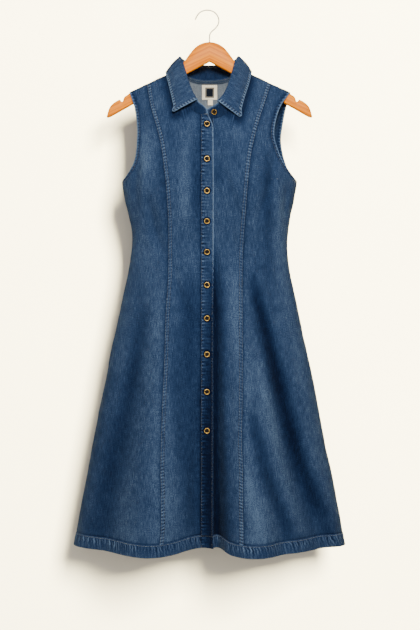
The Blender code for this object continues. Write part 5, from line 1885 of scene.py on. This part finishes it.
def make_stage():
    """Plain wall and floor. They neither shade the dress nor light it back."""
    backdrop = bpy.data.collections.new("backdrop")
    upright = Matrix.Rotation(math.pi / 2, 4, "X")
    floor = paint_finish("floor_paint", 90.0, 3.0, (0.74, 0.71, 0.66), (0.80, 0.77, 0.72),
                         Roughness=0.8)
    for name, place, turned, size, finish in (
            ("studio_wall", (0, WALL_Y, WALL_MIDDLE_Z), upright, WALL_HALF, wall_finish()),
            ("studio_floor", (0, WALL_Y - FLOOR_HALF[1], FLOOR_Z), Matrix.Identity(4),
             FLOOR_HALF, floor.material)):
        form = bmesh.new()
        bmesh.ops.create_grid(form, x_segments=1, y_segments=1, size=1.0)
        bmesh.ops.scale(form, verts=form.verts, vec=(*size, 1))
        bmesh.ops.transform(form, matrix=Matrix.Translation(place) @ turned, verts=form.verts)
        item = add_piece(name, mesh_of(form, name, finish))
        backdrop.objects.link(item)
        item.visible_diffuse = False
        item.visible_shadow = False
    return backdrop


def add_lamp(name, place, aim, size, power, colour, lit):
    """A rectangular lamp. lit is the collection that says what it lights."""
    lamp = bpy.data.lights.new(name, "AREA")
    lamp.shape = "RECTANGLE"
    lamp.size, lamp.size_y = size
    lamp.energy = power
    lamp.color = colour
    item = bpy.data.objects.new(name, lamp)
    item.location = place
    facing = Vector(aim) - Vector(place)
    item.rotation_euler = facing.to_track_quat("-Z", "Y").to_euler()
    bpy.context.scene.collection.objects.link(item)
    item.light_linking.receiver_collection = lit


def make_light(backdrop):
    """Lamps before and behind the dress, and two for the backdrop alone, as in a studio."""
    world = bpy.data.worlds.new("studio")
    world.use_nodes = True
    background = world.node_tree.nodes["Background"]
    background.inputs["Color"].default_value = (1.0, 0.98, 0.95, 1.0)
    background.inputs["Strength"].default_value = 0.22
    bpy.context.scene.world = world
    for_dress = bpy.data.collections.new("all_but_backdrop")
    for item in backdrop.objects:
        for_dress.objects.link(item)
    for entry in for_dress.collection_objects:
        entry.light_linking.link_state = "EXCLUDE"
    for name, place, aim, size, power, colour, lit in (
            ("key", (0.15, -2.7, 0.55), (0, 0, -0.62), (0.7, 0.7), 143.0, DAYLIGHT, for_dress),
            ("backdrop_light", (2.0, -5.5, 1.9), (0, 0, -0.7), (1.8, 2.6), 4900.0,
             (1.0, 0.92, 0.62), backdrop),
            ("backdrop_fill", (0.2, -4.6, -0.5), (0, 0, -0.7), (3.4, 3.0), 120.0,
             (1.0, 0.93, 0.84), backdrop),
            ("back_fill", (0.9, 2.6, 0.3), (0, 0, -0.6), (1.2, 1.2), 70.0, DAYLIGHT,
             for_dress)):
        add_lamp(name, place, aim, size, power, colour, lit)


def make_camera():
    """Straight in front, and so far off that the frame's height shows FRAME_HEIGHT."""
    lens = bpy.data.cameras.new("photo_camera")
    lens.sensor_width = SENSOR
    lens.lens = SENSOR * -CAMERA_PLACE[1] / FRAME_HEIGHT
    camera = bpy.data.objects.new("photo_camera", lens)
    camera.location = CAMERA_PLACE
    camera.rotation_euler = (math.pi / 2, 0, 0)
    bpy.context.scene.collection.objects.link(camera)
    bpy.context.scene.camera = camera


# ---- the whole dress
# Colours of the warp and weft from darkest to palest, on the right side and the wrong side.
BLUES = ((0.001, 0.0036, 0.0155), (0.0054, 0.0163, 0.0495), (0.0185, 0.039, 0.091),
         (0.12, 0.185, 0.285))
GREYS = ((0.05, 0.065, 0.09), (0.10, 0.125, 0.15), (0.155, 0.18, 0.205), (0.32, 0.35, 0.38))
SEAM_THREAD = (0.115, 0.13, 0.135)
PALE_THREAD = (0.26, 0.30, 0.33)
TAPE_BLUES = ((0.008, 0.015, 0.03), (0.026, 0.045, 0.08), (0.06, 0.09, 0.14))
CREAMS = ((0.76, 0.64, 0.45), (0.98, 0.87, 0.64), (1.0, 0.96, 0.80))
LABEL_BLOCK = {             # a plain dark block of the builder's own, as X and Z ranges
    "x": (-9.6, 10.0), "z": (-183.4, -161.6),
    "stops": ((0.15, (0.002, 0.003, 0.007)), (0.5, (0.005, 0.008, 0.017)),
              (0.9, (0.015, 0.02, 0.034)))}


def make_panels(finishes, thread):
    """The seven panels with their middle grids, and the pieces that lie on each."""
    panels, lying = {}, {}
    for side, column, word in SIDES:
        for face in FACES:
            seam = seam_edge(f"{face}_{column}", side, side * SEAM_GAP / 2)
            outer_edge = side_edge(f"{face}_{column}", side)
            node = f"{face}_side_{word}"
            panels[node] = make_panel(node, face, (outer_edge, seam), FINE, FINE, 26, finishes,
                                      seams=[seam_line(face, column, side)])
            lying[node] = make_seam(face, column, word, side, finishes, thread)
    edges = {
        (face, side): seam_edge(f"{face}_{column}", side, -side * SEAM_GAP / 2)
        for face in FACES for side, column, _ in SIDES
    }
    band_line = line_on("front", lambda z: BAND_SEAM_X + 0 * z, np.linspace(-236, -1172, 500))
    panels["front_centre_right"] = make_panel(
        "front_centre_right", "front", (edges["front", -1], straight_edge(BAND_SEAM_X)),
        PLAIN, FINE, 16, finishes, seams=[seam_line("front", "left", -1), band_line])
    panels["front_centre_left"] = make_panel(
        "front_centre_left", "front", (straight_edge(UNDER_SEAM_X), edges["front", 1]),
        FINE, PLAIN, 18, finishes, under=True, seams=[seam_line("front", "right", 1)])
    panels["back_centre"] = make_panel(
        "back_centre", "back", (edges["back", -1], edges["back", 1]), PLAIN, PLAIN, 46,
        finishes, seams=[seam_line("back", "left", -1), seam_line("back", "right", 1)])
    return panels, lying


def make_hems(lying, finishes, thread):
    hem_z = float(HEM.at("front", 0.0))
    reach_left, reach_right = (
        float(BODY.at(side, hem_z)) * HEM_REACH for side in ("left", "right"))
    lying["front_centre_right"] = make_hem(
        "hem_front_right", "front", (-reach_left, BAND_SEAM_X - 0.4), finishes, thread)
    lying["front_centre_left"] = make_hem(
        "hem_front_left", "front", (UNDER_SEAM_X + 0.6, reach_right), finishes, thread,
        under=True)
    lying["back_centre"] = make_hem(
        "hem_back", "back", (-reach_left, reach_right), finishes, thread)


def make_dress():
    """All of the dress."""
    right_side = denim_finish("denim", BLUES, 0.05)
    wrong_side = denim_finish("denim_wrong_side", GREYS, 0.06, BLUES)
    finishes = [right_side, wrong_side]
    doubled = [right_side, right_side]
    seam_thread = thread_finish("seam_thread", SEAM_THREAD)
    pale_thread = thread_finish("pale_thread", PALE_THREAD)

    panels, lying = make_panels(finishes, seam_thread)
    make_hems(lying, finishes, pale_thread)
    make_upper_band(doubled, seam_thread)
    make_under_band(doubled)
    make_stand(doubled, seam_thread)
    make_fall(doubled, seam_thread)
    for side, column, word in SIDES:
        lines = [armhole_line(face, column, side, ARMHOLE_STITCH, 0.05)
                 for face in FACES]
        lying[f"front_side_{word}"].append(
            sew(f"armhole_{word}_stitches", lines, seam_thread, 14 + side))
        lying[f"back_side_{word}"].append(make_side_allowance(word, side, doubled))
    lying["back_centre"] += make_trims(
        woven_finish("neck_tape_cotton", TAPE_BLUES),
        woven_finish("label_cotton", CREAMS, LABEL_BLOCK),
        woven_finish("tab_cotton", CREAMS), seam_thread)
    for node, (piece, middle) in panels.items():
        declare_sheet(middle)

    make_buttons(brass_finish("aged_brass"), brass_finish("brass_in_painted_shade", 0.2), dark_metal_finish(
        "button_middle", (0.003, 0.003, 0.005), (0.012, 0.010, 0.009), 0.1, 0.04, 0.7))
    make_hanger_wood(wood_finish())
    make_hook(dark_metal_finish(
        "hook_steel", (0.10, 0.095, 0.09), (0.30, 0.29, 0.28), 1.0, 0.5, 0.36))


make_light(make_stage())
make_camera()
make_dress()
